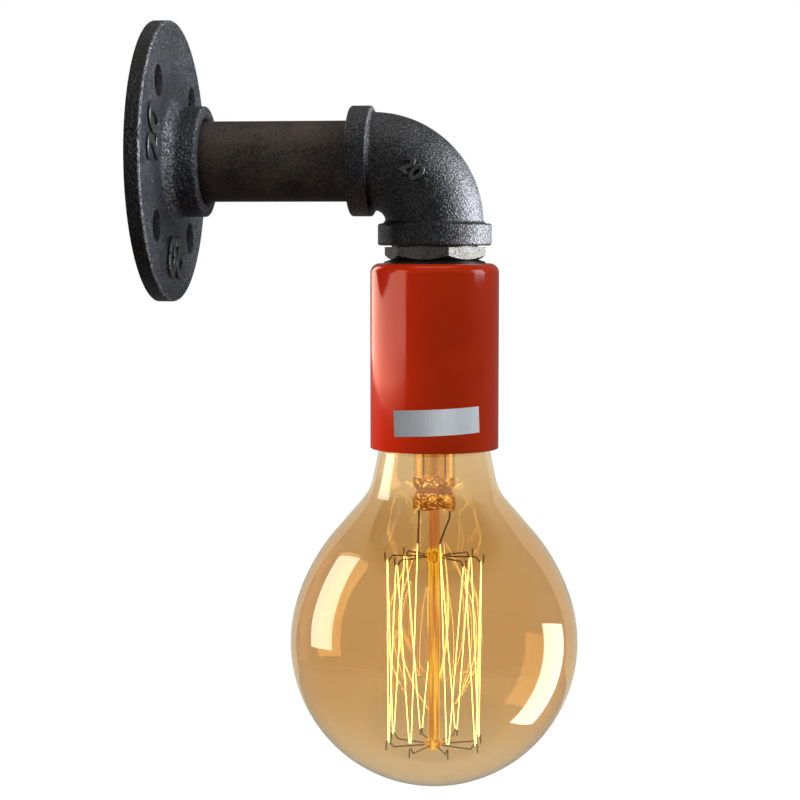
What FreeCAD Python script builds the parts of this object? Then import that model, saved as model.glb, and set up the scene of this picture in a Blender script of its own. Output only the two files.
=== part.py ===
"""Pipe wall light: a floor flange, a short pipe and an elbow carry a metal-cased screw lampholder
and a large globe bulb.

Millimetres. The origin is the centre of the flange's back face, on the wall. +X points out of the
wall along the pipe, +Z is up, and the lamp hangs along -Z below the elbow.
"""

import FreeCAD, Part
import math
import os
import re
import Sketcher
from FreeCAD import Placement, Rotation, Vector

# Driving sizes. Radii and lengths are in mm, angles in degrees.
SIZES = {
    # wall flange, a grey iron casting
    "flange_radius": 47.0,
    "flange_thickness": 5.3,
    "flange_edge": 0.8,
    "hub_radius": 18.5,
    "hub_length": 16.5,
    "hub_fillet": 3.6,
    "hub_mouth_chamfer": 1.5,
    "screw_circle_radius": 33.4,
    "screw_hole_radius": 3.7,
    "screw_hole_mouth": 1.7,
    "screw_hole_turn": -5.0,
    # pipe
    "pipe_radius": 13.45,
    "pipe_bore_radius": 10.8,
    "pipe_shown": 49.0,
    "pipe_in_hub": 13.0,
    "pipe_in_elbow": 12.0,
    "pipe_end_chamfer": 0.8,
    "thread_gap": 0.05,
    "swivel_gap": 0.08,
    # elbow, an equal 90 degree casting
    "centre_to_face": 28.0,
    "elbow_radius": 16.2,
    "elbow_bore_radius": 10.8,
    "socket_depth": 13.0,
    "band_width": 7.3,
    "inlet_band_radius": 18.35,
    "outlet_band_radius": 18.95,
    "band_round": 0.9,
    "band_root_fillet": 1.4,
    # hexagon bush between the elbow and the threaded tube
    "bush_thread_radius": 13.2,
    "bush_thread_length": 12.0,
    "bush_cavity_radius": 9.5,
    "bush_cavity_depth": 9.0,
    "bush_collar_radius": 14.3,
    "bush_collar": 0.5,
    "hex_half_flats": 15.0,
    "hex_height": 4.1,
    "hex_turn": -8.3,
    # threaded tube and what is clamped on it
    "tube_radius": 5.0,
    "tube_bore_radius": 3.5,
    "tube_in_bush": 8.0,
    "washer_radius": 16.9,
    "washer_height": 1.3,
    "washer_crown": 0.8,
    "star_washer_radius": 9.0,
    "star_washer_thickness": 0.8,
    "star_washer_teeth": 12.0,
    "earth_tag_thickness": 0.8,
    "earth_tag_radius": 8.0,
    "nut_half_flats": 8.5,
    "nut_height": 2.7,
    # metal cup round the lampholder
    "cup_radius": 21.45,
    "cup_height": 61.7,
    "cup_wall": 0.9,
    "cup_corner": 3.2,
    "label_width": 30.2,
    "label_height": 8.6,
    "label_thickness": 0.1,
    "label_above_mouth": 6.0,
    "label_angle": 81.2,
    # bridge, porcelain and terminals
    "bridge_thickness": 1.5,
    "bridge_width": 12.0,
    "bridge_boss_radius": 7.2,
    "bridge_boss_height": 3.3,
    "bridge_screw_offset": 15.6,
    "bridge_end_margin": 3.0,
    "porcelain_radius": 19.4,
    "porcelain_rim_wall": 3.9,
    "porcelain_rim_height": 8.0,
    "post_height": 13.4,
    "post_width": 7.0,
    "post_depth": 5.4,
    "floor_thickness": 5.5,
    "skirt_length": 25.0,
    "terminal_length": 6.0,
    "terminal_width": 7.0,
    "terminal_height": 7.5,
    "terminal_offset": 10.5,
    "terminal_hole_radius": 1.35,
    "terminal_hole_height": 4.4,
    "plate_thickness": 0.8,
    "rivet_radius": 1.3,
    "rivet_head_radius": 2.0,
    "rivet_head": 0.6,
    "contact_rivet_offset": 3.6,
    "shell_rivet_x": 10.0,
    "shell_rivet_y": 5.6,
    "clamp_screw_radius": 1.5,
    "clamp_head_radius": 2.6,
    "clamp_head": 1.8,
    "clamp_depth": 4.2,
    "clamp_slot_width": 0.7,
    "clamp_slot_depth": 0.9,
    "bridge_screw_depth": 8.0,
    "earth_block_offset": 10.0,
    "earth_block_length": 5.0,
    "earth_block_width": 6.0,
    "earth_block_height": 7.6,
    "earth_block_skin": 1.0,
    "tongue_width": 5.0,
    "tongue_thickness": 0.5,
    "tongue_drop": 1.9,
    "contact_gap": 0.1,
    # screw thread that the lampholder and the bulb share
    "thread_pitch": 3.629,
    "thread_depth": 1.05,
    "thread_root_width": 2.2,
    "thread_crest_width": 1.0,
    "thread_clearance": 0.45,
    "holder_thread_length": 16.0,
    "shell_wall": 0.4,
    "shell_seat": 0.2,
    "shell_end_margin": 2.0,
    "shell_opening_radius": 7.0,
    # bulb
    "bulb_length": 147.5,
    "bulb_radius": 48.3,
    "glass_wall": 0.8,
    "shoulder_start": 14.0,
    "shoulder_curve": 66.0,
    "shoulder_end_radius": 32.9,
    "shoulder_end_below_throat": 27.5,
    "flare_radius": 24.1,
    "flare_below_throat": 17.3,
    "neck_curve": 16.0,
    "neck_radius": 20.6,
    "neck_below_throat": 10.2,
    "throat_radius": 18.45,
    "throat_below_cap": 8.2,
    "seal_radius": 11.3,
    "seal_in_cap": 0.3,
    "seal_below_tip": 13.2,
    "cap_root_radius": 12.15,
    "cap_wall": 0.35,
    "cap_length": 25.5,
    "cap_shoulder": 4.0,
    "cap_thread_start": 6.0,
    "cap_thread_length": 14.5,
    "cap_contact_radius": 4.6,
    "cap_contact_height": 1.2,
    "insulator_top_radius": 5.2,
    "insulator_inset": 2.0,
    "insulator_depth": 1.5,
    "insulator_lip": 0.3,
    "cement_length": 7.5,
    # mount inside the bulb
    "stem_radius": 6.9,
    "stem_wall": 0.8,
    "stem_length": 30.2,
    "pinch_width": 14.4,
    "pinch_depth": 6.6,
    "pinch_height": 11.4,
    "pinch_round": 2.6,
    "exhaust_radius": 1.6,
    "exhaust_wall": 0.5,
    "exhaust_above_seal": 2.0,
    "rod_radius": 1.95,
    "rod_bead_radius": 3.1,
    "rod_bead_half": 1.6,
    "rod_above_cage": 15.9,
    "rod_foot_clearance": 11.2,
    "cage_radius": 16.0,
    "upper_hooks_count": 7.0,
    "hook_radius": 0.25,
    "hook_crook": 1.8,
    "hook_crown": 2.0,
    "hook_crown_inside": 0.45,
    "hook_crown_outside": 0.65,
    "hook_tail": 3.0,
    "hook_tail_reach": 0.8,
    "hook_bend": 0.45,
    "lead_radius": 0.3,
    "lead_spread": 5.2,
    "lead_bend": 1.0,
    "lead_drop": 2.5,
    "lead_tip_side": 3.75,
    "lead_tip_height": 6.5,
    "lead_crimp": 1.6,
    "filament_radius": 0.1,
    "filament_gap": 0.1,
    # insulated leads inside the pipe
    "lead_wire_radius": 1.05,
    "lead_wire_offset": 1.55,
    "lead_wire_side": 0.9,
    "earth_wire_side": 1.8,
    "lead_wire_bend": 16.0,
    "lead_wire_small_bend": 3.0,
    "ferrule_radius": 1.5,
    "ferrule_length": 6.0,
    "ferrule_pin_radius": 0.75,
    "ferrule_pin_length": 4.0,
    "ferrule_tip": 1.0,
}

doc = FreeCAD.newDocument("pipe_wall_light")
sheet = doc.addObject("Spreadsheet::Sheet", "Sizes")
for row, (alias, value) in enumerate(SIZES.items(), 1):
    sheet.set("A%d" % row, alias)
    sheet.set("B%d" % row, str(value))
    sheet.setAlias("B%d" % row, alias)
doc.recompute()

# Places that follow from the sizes, as formulas. X places are measured from the wall.
ELBOW_FACE_X = "(hub_length + pipe_shown)"
LAMP_X = "(hub_length + pipe_shown + centre_to_face)"
# Depths are measured down the lamp's axis from the pipe's axis.
HEX_TOP = "(centre_to_face + bush_collar)"
HEX_BOTTOM = "(%s + hex_height)" % HEX_TOP
CUP_TOP = "(%s + washer_height)" % HEX_BOTTOM
CUP_CEILING = "(%s + cup_wall)" % CUP_TOP
CUP_MOUTH = "(%s + cup_height)" % CUP_TOP
TAG_TOP = "(%s + star_washer_thickness)" % CUP_CEILING
NUT_TOP = "(%s + earth_tag_thickness)" % TAG_TOP
BRIDGE_TOP = "(%s + nut_height)" % NUT_TOP
POST_TOP = "(%s + bridge_thickness)" % BRIDGE_TOP
TUBE_BOTTOM = "(%s + bridge_boss_height)" % BRIDGE_TOP
FLOOR_TOP = "(%s + post_height)" % POST_TOP
FLOOR_BOTTOM = "(%s + floor_thickness)" % FLOOR_TOP
TIP = "(%s + tongue_thickness + tongue_drop + contact_gap)" % FLOOR_BOTTOM
SHELL_INNER = "(cap_root_radius + thread_depth + thread_clearance)"
SHELL_OUTER = "(%s + shell_wall)" % SHELL_INNER
HOLE_DEPTH = "(%s - terminal_hole_height)" % FLOOR_TOP
EARTH_HOLE = "(earth_block_height - terminal_hole_radius - earth_block_skin)"
EARTH_DEPTH = "(%s + %s)" % (POST_TOP, EARTH_HOLE)
# Radii of the holes that fit on a rivet, a screw or the threaded tube
RIVET_HOLE = "(rivet_radius + thread_gap)"
SCREW_HOLE = "(clamp_screw_radius + thread_gap)"
TUBE_HOLE = "(tube_radius + thread_gap)"
# Heights in the bulb are measured up from the centre of its globe.
BULB_TOP = "(bulb_length - bulb_radius)"
THROAT = "(%s - cap_length - throat_below_cap)" % BULB_TOP
SEAL_START = "(%s - cap_length + seal_in_cap)" % BULB_TOP
SEAL_END = "(%s - seal_below_tip)" % BULB_TOP
STEM_END = "(%s - stem_length)" % SEAL_END
PINCH_END = "(%s - pinch_height)" % STEM_END
CAGE_TOP = "(%s - rod_above_cage)" % PINCH_END
ROD_FOOT = "(rod_foot_clearance - bulb_radius)"
CAGE_LOW = "(%s + rod_bead_half)" % ROD_FOOT

pieces = {}


def formula(text):
    """The text with each size's name written as the sheet's cell."""
    return re.sub(r"[a-z_]+", lambda word: "Sizes." * (word.group() in SIZES) + word.group(), text)


def number(text):
    """What a formula comes to with the sizes as they are."""
    return float(sheet.evalExpression(formula(text)))


def bind(thing, target, text):
    """Ties a property or constraint to a formula."""
    thing.setExpression(target, formula(text))


def place(thing, x="0", y="0", z="0"):
    """Ties a piece's position to formulas."""
    for axis, text in (("x", x), ("y", y), ("z", z)):
        bind(thing, "Placement.Base." + axis, text)


def turn(thing, axis, angle):
    """Turns a piece about an axis through its own origin, by a formula in degrees."""
    thing.Placement = Placement(Vector(), Rotation(axis, number(angle)))
    bind(thing, "Placement.Rotation.Angle", angle)


def keep(thing, name):
    """Records a finished piece under its name."""
    thing.Label = name
    pieces[name] = thing
    return thing


def new_body(name):
    return doc.addObject("PartDesign::Body", name)


def new_sketch(body, name, role="XZ_Plane"):
    """A sketch on one of the body's own origin planes."""
    sketch = body.newObject("Sketcher::SketchObject", name)
    support = [feature for feature in body.Origin.OriginFeatures if feature.Role == role]
    sketch.AttachmentSupport = [(support[0], "")]
    sketch.MapMode = "FlatFace"
    return sketch


def arc_between(start, end, radius, side):
    """The minor arc of this radius from start to end. side 1 bulges to the right of the way."""
    chord = end - start
    half = chord.Length / 2
    normal = Vector(-chord.y, chord.x, 0).normalize()
    centre = (start + end) / 2 + normal * side * math.sqrt(radius**2 - half**2)
    circle = Part.Circle(centre, Vector(0, 0, 1), radius)
    first, last = (start, end) if side > 0 else (end, start)
    return Part.ArcOfCircle(circle, circle.parameter(first), circle.parameter(last))


def draw_outline(sketch, corners):
    """A closed outline. A corner is (u, v), or (u, v, radius, side) where an arc leads to it."""
    points = [Vector(number(corner[0]), number(corner[1]), 0) for corner in corners]
    runs = []
    for index, corner in enumerate(corners):
        start, end = points[index - 1], points[index]
        if len(corner) == 4:
            side = corner[3]
            shape = arc_between(start, end, number(corner[2]), side)
            run = sketch.addGeometry(shape)
            runs.append((run, 1, 2) if side > 0 else (run, 2, 1))
            item = sketch.addConstraint(Sketcher.Constraint("Radius", run, number(corner[2])))
            bind(sketch, "Constraints[%d]" % item, corner[2])
        else:
            runs.append((sketch.addGeometry(Part.LineSegment(start, end)), 1, 2))
    for index, (run, _, last) in enumerate(runs):
        following, first, _ = runs[(index + 1) % len(runs)]
        sketch.addConstraint(Sketcher.Constraint("Coincident", run, last, following, first))
    for (run, _, last), point, corner in zip(runs, points, corners):
        for kind, value, text in (("DistanceX", point.x, corner[0]), ("DistanceY", point.y, corner[1])):
            item = sketch.addConstraint(Sketcher.Constraint(kind, -1, 1, run, last, value))
            bind(sketch, "Constraints[%d]" % item, text)
    return sketch


def draw_circle(sketch, u, v, radius):
    """A circle whose centre and radius are formulas."""
    centre = Vector(number(u), number(v), 0)
    run = sketch.addGeometry(Part.Circle(centre, Vector(0, 0, 1), number(radius)))
    for kind, value, text in (("DistanceX", centre.x, u), ("DistanceY", centre.y, v)):
        item = sketch.addConstraint(Sketcher.Constraint(kind, -1, 1, run, 3, value))
        bind(sketch, "Constraints[%d]" % item, text)
    item = sketch.addConstraint(Sketcher.Constraint("Radius", run, number(radius)))
    bind(sketch, "Constraints[%d]" % item, radius)


def box_corners(left, right, bottom, top):
    return [(left, bottom), (right, bottom), (right, top), (left, top)]


def revolve(body, sketch, axis="V_Axis"):
    """Turns a sketch all the way round one of its own axes."""
    feature = body.newObject("PartDesign::Revolution", sketch.Name + "_revolved")
    feature.Profile = sketch
    feature.ReferenceAxis = (sketch, [axis])
    feature.Angle = 360
    doc.recompute()
    return feature


def pad(body, sketch, length, symmetric=False):
    feature = body.newObject("PartDesign::Pad", sketch.Name + "_pad")
    feature.Profile = sketch
    feature.SideType = "Symmetric" if symmetric else "One side"
    bind(feature, "Length", length)
    doc.recompute()
    return feature


def pocket(body, sketch, name):
    """Cuts a sketch right through the body, both ways, and checks that it cuts."""
    before = body.Shape.Volume
    feature = body.newObject("PartDesign::Pocket", name)
    feature.Profile = sketch
    feature.SideType = "Symmetric"
    feature.Type = "Length"
    feature.Length = 4 * body.Shape.BoundBox.DiagonalLength
    doc.recompute()
    if not body.Shape.Volume < before:
        raise RuntimeError(name + " cuts nothing")
    return feature


def helix(body, sketch, length):
    """A right-hand ridge that climbs the body's axis at the shared pitch."""
    feature = body.newObject("PartDesign::AdditiveHelix", sketch.Name + "_helix")
    feature.Profile = sketch
    feature.ReferenceAxis = (sketch, ["V_Axis"])
    feature.Mode = "pitch-height-angle"
    bind(feature, "Pitch", "thread_pitch")
    bind(feature, "Height", length)
    doc.recompute()
    return feature


def ring_edges(shape, axis, radius, height):
    """Names of the round edges of this radius about an axis of the shape, at this place on it."""
    names = []
    for index, edge in enumerate(shape.Edges, 1):
        curve = edge.Curve
        if not isinstance(curve, Part.Circle) or abs(curve.Radius - radius) > 0.001:
            continue
        if abs(getattr(curve.Center, axis) - height) < 0.001:
            names.append("Edge%d" % index)
    if not names:
        raise RuntimeError("no round edge of radius %.2f at %.2f" % (radius, height))
    return names


def dress(body, kind, name, edges, prop, text):
    """Rounds or chamfers named edges of the body's last feature."""
    last = body.Tip
    feature = body.newObject("PartDesign::" + kind, name)
    feature.Base = (last, edges)
    bind(feature, prop, text)
    doc.recompute()
    return feature


def turned_piece(name, corners, z="0", x=LAMP_X):
    """A piece turned about its own Z axis, placed on the lamp's axis at height z."""
    body = new_body(name)
    revolve(body, draw_outline(new_sketch(body, name + "_outline"), corners))
    place(body, x=x, z=z)
    return keep(body, name)


def keep_group(name, parts):
    """Records several separate solids of one kind as one piece."""
    group = doc.addObject("Part::Compound", name)
    group.Links = parts
    return keep(group, name)


def hexagon(sketch, half_flats):
    """A regular hexagon about the sketch's origin, with two flats square to its first axis."""
    corners = []
    for step in range(6):
        angle = 60 * step + 30
        reach = "%s / cos(30 deg)" % half_flats
        corners.append(("%s * cos(%d deg)" % (reach, angle), "%s * sin(%d deg)" % (reach, angle)))
    return draw_outline(sketch, corners)


def rounded_path(points, radius):
    """Straight runs through the points, with a tangent arc at each inner one."""
    edges = []
    start = points[0]
    for before, corner, after in zip(points, points[1:], points[2:]):
        back = (before - corner).normalize()
        ahead = (after - corner).normalize()
        half = back.getAngle(ahead) / 2
        reach = radius / math.tan(half)
        middle = (back + ahead).normalize() * (radius / math.sin(half) - radius)
        first, last = corner + back * reach, corner + ahead * reach
        if start.distanceToPoint(first) > 0.001:
            edges.append(Part.LineSegment(start, first).toShape())
        edges.append(Part.Arc(first, corner + middle, last).toShape())
        start = last
    edges.append(Part.LineSegment(start, points[-1]).toShape())
    return Part.Wire(edges)


def wire_shape(points, bend, radius):
    """A round wire along the points, with its volume checked against its length."""
    path = rounded_path(points, bend)
    way = points[1] - points[0]
    section = Part.Wire(Part.Circle(points[0], way, radius).toShape())
    solid = path.makePipeShell([section], True, True)
    expected = math.pi * radius**2 * path.Length
    if abs(solid.Volume - expected) > 0.03 * expected:
        raise RuntimeError("a wire has the volume %.2f in place of %.2f" % (solid.Volume, expected))
    return solid


def from_shape(name, shape, x=0.0, z=0.0):
    """A piece whose shape is worked out here, then put in its place."""
    thing = doc.addObject("Part::Feature", name)
    thing.Shape = shape
    thing.Placement = Placement(Vector(x, 0, z), Rotation())
    return keep(thing, name)


def make_flange():
    body = new_body("wall_flange")
    bore = "(pipe_radius + thread_gap)"
    outline = draw_outline(
        new_sketch(body, "flange_outline"),
        [
            ("0", bore),
            ("0", "flange_radius"),
            ("flange_thickness", "flange_radius"),
            ("flange_thickness", "hub_radius"),
            ("hub_length", "hub_radius"),
            ("hub_length", "%s + hub_mouth_chamfer" % bore),
            ("hub_length - hub_mouth_chamfer", bore),
        ],
    )
    turned = revolve(body, outline, "H_Axis")
    rims = ring_edges(turned.Shape, "x", number("flange_radius"), number("flange_thickness"))
    dress(body, "Fillet", "rim_round", rims, "Radius", "flange_edge")
    root = ring_edges(body.Shape, "x", number("hub_radius"), number("flange_thickness"))
    dress(body, "Fillet", "hub_root", root, "Radius", "hub_fillet")
    front = ring_edges(body.Shape, "x", number("hub_radius"), number("hub_length"))
    dress(body, "Fillet", "hub_front", front, "Radius", "flange_edge")
    holes = new_sketch(body, "screw_holes", "YZ_Plane")
    for step in range(4):
        angle = "(%d + screw_hole_turn)" % (45 + 90 * step)
        u = "screw_circle_radius * cos(%s * 1 deg)" % angle
        v = "screw_circle_radius * sin(%s * 1 deg)" % angle
        draw_circle(holes, u, v, "screw_hole_radius")
    pocket(body, holes, "screw_holes_cut")
    mouths = ring_edges(body.Shape, "x", number("screw_hole_radius"), number("flange_thickness"))
    dress(body, "Chamfer", "screw_hole_mouths", mouths, "Size", "screw_hole_mouth")
    keep(body, "wall_flange")


def make_pipe():
    body = new_body("pipe_nipple")
    length = "(pipe_in_hub + pipe_shown + pipe_in_elbow)"
    outline = draw_outline(
        new_sketch(body, "pipe_outline"),
        [
            ("0", "pipe_bore_radius"),
            ("0", "pipe_radius - pipe_end_chamfer"),
            ("pipe_end_chamfer", "pipe_radius"),
            ("%s - pipe_end_chamfer" % length, "pipe_radius"),
            (length, "pipe_radius - pipe_end_chamfer"),
            (length, "pipe_bore_radius"),
        ],
    )
    revolve(body, outline, "H_Axis")
    place(body, x="hub_length - pipe_in_hub")
    keep(body, "pipe_nipple")


def make_elbow():
    """A 90 degree casting about the centre of its bend, with a banded socket at each end."""
    body = new_body("elbow")
    bend = "(centre_to_face - band_width)"
    section = new_sketch(body, "bend_section", "XY_Plane")
    draw_circle(section, bend, "0", "elbow_radius")
    draw_circle(section, bend, "0", "elbow_bore_radius")
    turned = revolve(body, section)
    turned.Angle = 90
    turned.Reversed = True
    ends = (
        ("inlet", "YZ_Plane", "x", ("0", bend), "inlet_band_radius", "(pipe_radius + swivel_gap)"),
        ("outlet", "XY_Plane", "z", (bend, "0"), "outlet_band_radius", "(bush_thread_radius + thread_gap)"),
    )
    for name, plane, _, middle, band_radius, _ in ends:
        ring = new_sketch(body, name + "_band", plane)
        draw_circle(ring, *middle, band_radius)
        draw_circle(ring, *middle, "elbow_bore_radius")
        pad(body, ring, "band_width").Reversed = True
    for name, plane, _, middle, _, socket_radius in ends:
        mouth = new_sketch(body, name + "_socket", plane)
        draw_circle(mouth, *middle, socket_radius)
        bind(mouth, "AttachmentOffset.Base.z", "-band_width")
        socket = body.newObject("PartDesign::Pocket", name + "_socket_cut")
        socket.Profile = mouth
        socket.Reversed = True
        bind(socket, "Length", "socket_depth")
        doc.recompute()
    for name, _, axis, _, band_radius, _ in ends:
        radius = number(band_radius)
        rims = ring_edges(body.Shape, axis, radius, number("-band_width"))
        rims += ring_edges(body.Shape, axis, radius, 0)
        dress(body, "Fillet", name + "_band_rounds", rims, "Radius", "band_round")
        root = ring_edges(body.Shape, axis, number("elbow_radius"), 0)
        dress(body, "Fillet", name + "_band_root", root, "Radius", "band_root_fillet")
    place(body, x="%s - %s" % (LAMP_X, bend), z="-%s" % bend)
    keep(body, "elbow")


def make_bush():
    """Hexagon reducing bush: a male thread in the elbow, and the small threaded bore for the tube."""
    body = new_body("reducer_bush")
    across = new_sketch(body, "hex_outline", "XY_Plane")
    hexagon(across, "hex_half_flats")
    pad(body, across, "hex_height")
    corner_cut = body.newObject("PartDesign::Groove", "hex_corners")
    corners = "hex_half_flats / cos(30 deg)"
    corner_cut.Profile = draw_outline(
        new_sketch(body, "hex_corner_cut"),
        [
            ("hex_half_flats - 0.2", "0"),
            ("%s + 1" % corners, "0"),
            ("%s + 1" % corners, "(%s - hex_half_flats + 1.2) * tan(30 deg)" % corners),
        ],
    )
    corner_cut.ReferenceAxis = (corner_cut.Profile[0], ["V_Axis"])
    corner_cut.Angle = 360
    doc.recompute()
    top = "(hex_height + bush_collar + bush_thread_length)"
    male = draw_outline(
        new_sketch(body, "male_outline"),
        [
            ("0", "hex_height"),
            ("bush_collar_radius", "hex_height"),
            ("bush_collar_radius", "hex_height + bush_collar"),
            ("bush_thread_radius", "hex_height + bush_collar"),
            ("bush_thread_radius", "%s - pipe_end_chamfer" % top),
            ("bush_thread_radius - pipe_end_chamfer", top),
            ("0", top),
        ],
    )
    revolve(body, male)
    hollow = body.newObject("PartDesign::Groove", "bush_bore")
    hollow.Profile = draw_outline(
        new_sketch(body, "bore_outline"),
        [
            ("0", "0"),
            (TUBE_HOLE, "0"),
            (TUBE_HOLE, "%s - bush_cavity_depth" % top),
            ("bush_cavity_radius", "%s - bush_cavity_depth" % top),
            ("bush_cavity_radius", top),
            ("0", top),
        ],
    )
    hollow.ReferenceAxis = (hollow.Profile[0], ["V_Axis"])
    hollow.Angle = 360
    doc.recompute()
    turn(body, Vector(0, 0, 1), "30 + hex_turn")
    place(body, x=LAMP_X, z="-%s" % HEX_BOTTOM)
    keep(body, "reducer_bush")


def make_tube_and_clamps():
    """The threaded tube through the bush and the cup, and what is clamped round it."""
    top = "(tube_in_bush + washer_height + cup_wall + star_washer_thickness + earth_tag_thickness)"
    length = "(%s + nut_height + bridge_boss_height)" % top
    turned_piece(
        "threaded_tube",
        box_corners("tube_bore_radius", "tube_radius", "0", length),
        z="-%s" % TUBE_BOTTOM,
    )
    turned_piece(
        "top_washer",
        [
            (TUBE_HOLE, "0"),
            ("washer_radius", "0"),
            ("washer_radius", "washer_height - washer_crown"),
            ("hex_half_flats - 0.6", "washer_height"),
            (TUBE_HOLE, "washer_height"),
        ],
        z="-%s" % CUP_TOP,
    )
    star = new_body("star_washer")
    ring = new_sketch(star, "star_outline", "XY_Plane")
    teeth = int(number("star_washer_teeth"))
    corners = []
    for step in range(2 * teeth):
        reach = "star_washer_radius" if step % 2 else "(star_washer_radius - 1.6)"
        angle = "(%d * 180 / star_washer_teeth * 1 deg)" % step
        corners.append(("%s * cos(%s)" % (reach, angle), "%s * sin(%s)" % (reach, angle)))
    draw_outline(ring, corners)
    draw_circle(ring, "0", "0", TUBE_HOLE)
    pad(star, ring, "star_washer_thickness")
    place(star, x=LAMP_X, z="-%s" % TAG_TOP)
    keep(star, "star_washer")
    tag = new_body("earth_tag")
    eye = new_sketch(tag, "tag_outline", "XY_Plane")
    draw_circle(eye, "0", "0", "earth_tag_radius")
    draw_circle(eye, "0", "0", TUBE_HOLE)
    pad(tag, eye, "earth_tag_thickness")
    place(tag, x=LAMP_X, z="-%s" % NUT_TOP)
    keep(tag, "earth_ring")
    nut = new_body("tube_locknut")
    flats = new_sketch(nut, "nut_outline", "XY_Plane")
    hexagon(flats, "nut_half_flats")
    draw_circle(flats, "0", "0", TUBE_HOLE)
    pad(nut, flats, "nut_height")
    place(nut, x=LAMP_X, z="-%s" % BRIDGE_TOP)
    keep(nut, "tube_locknut")


def make_cup():
    body = new_body("lampholder_cup")
    inner = "(cup_radius - cup_wall)"
    outline = draw_outline(
        new_sketch(body, "cup_outline"),
        [
            (TUBE_HOLE, "0"),
            ("cup_radius - cup_corner", "0"),
            ("cup_radius", "-cup_corner", "cup_corner", -1),
            ("cup_radius", "-cup_height"),
            (inner, "-cup_height"),
            (inner, "-cup_corner"),
            ("cup_radius - cup_corner", "-cup_wall", "cup_corner - cup_wall", 1),
            (TUBE_HOLE, "-cup_wall"),
        ],
    )
    revolve(body, outline)
    place(body, x=LAMP_X, z="-%s" % CUP_TOP)
    keep(body, "lampholder_cup")

    label = new_body("foil_label")
    patch = draw_outline(
        new_sketch(label, "label_outline"),
        box_corners("cup_radius", "cup_radius + label_thickness", "0", "label_height"),
    )
    feature = label.newObject("PartDesign::Revolution", "label_patch")
    feature.Profile = patch
    feature.ReferenceAxis = (patch, ["V_Axis"])
    feature.Midplane = True
    bind(feature, "Angle", "label_width / cup_radius * 180 / pi")
    turn(label, Vector(0, 0, -1), "label_angle")
    place(label, x=LAMP_X, z="-(%s - label_above_mouth)" % CUP_MOUTH)
    keep(label, "foil_label")


def make_bridge():
    """The steel bridge that screws on the tube and carries the porcelain."""
    half_length = "(bridge_screw_offset + bridge_end_margin)"
    body = new_body("holder_bridge")
    strip = new_sketch(body, "strip_outline", "XY_Plane")
    draw_outline(strip, box_corners("-bridge_width / 2", "bridge_width / 2", "-" + half_length, half_length))
    pad(body, strip, "bridge_thickness")
    boss = new_sketch(body, "boss_outline")
    boss_end = "(bridge_thickness - bridge_boss_height)"
    draw_outline(boss, box_corners("0", "bridge_boss_radius", boss_end, "bridge_thickness"))
    revolve(body, boss)
    holes = new_sketch(body, "bridge_holes", "XY_Plane")
    draw_circle(holes, "0", "0", TUBE_HOLE)
    for side in ("", "-"):
        draw_circle(holes, "0", side + "bridge_screw_offset", SCREW_HOLE)
    pocket(body, holes, "bridge_holes_cut")
    place(body, x=LAMP_X, z="-%s" % POST_TOP)
    keep(body, "holder_bridge")


def make_porcelain():
    """The porcelain body: a floor between the terminals above it and the screw shell below."""
    body = new_body("porcelain_body")
    recess = "(%s + shell_seat)" % SHELL_OUTER
    rim = "(porcelain_radius - porcelain_rim_wall)"
    outline = draw_outline(
        new_sketch(body, "porcelain_outline"),
        [
            ("0", "-floor_thickness"),
            (recess, "-floor_thickness"),
            (recess, "-(floor_thickness + skirt_length)"),
            ("porcelain_radius", "-(floor_thickness + skirt_length)"),
            ("porcelain_radius", "porcelain_rim_height"),
            (rim, "porcelain_rim_height"),
            (rim, "0"),
            ("0", "0"),
        ],
    )
    revolve(body, outline)
    for side, name in ((1, "front_post"), (-1, "back_post")):
        inner = "%d * (bridge_screw_offset - post_depth / 2)" % side
        outer = "%d * (bridge_screw_offset + post_depth / 2)" % side
        low, high = (inner, outer) if side > 0 else (outer, inner)
        post = new_sketch(body, name, "XY_Plane")
        draw_outline(post, box_corners("-post_width / 2", "post_width / 2", low, high))
        pad(body, post, "post_height")
    holes = new_sketch(body, "porcelain_holes", "XY_Plane")
    draw_circle(holes, "-contact_rivet_offset", "0", RIVET_HOLE)
    draw_circle(holes, "shell_rivet_x", "shell_rivet_y", RIVET_HOLE)
    pocket(body, holes, "rivet_holes_cut")
    for side, name in (("", "front_screw_hole"), ("-", "back_screw_hole")):
        sketch = new_sketch(body, name, "XY_Plane")
        draw_circle(sketch, "0", side + "bridge_screw_offset", SCREW_HOLE)
        sketch.AttachmentOffset = Placement(Vector(0, 0, number("post_height")), Rotation())
        bind(sketch, "AttachmentOffset.Base.z", "post_height")
        hole = body.newObject("PartDesign::Pocket", name + "_cut")
        hole.Profile = sketch
        bind(hole, "Length", "bridge_screw_depth + rivet_head")
        doc.recompute()
    place(body, x=LAMP_X, z="-%s" % FLOOR_TOP)
    keep(body, "porcelain_body")


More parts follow.
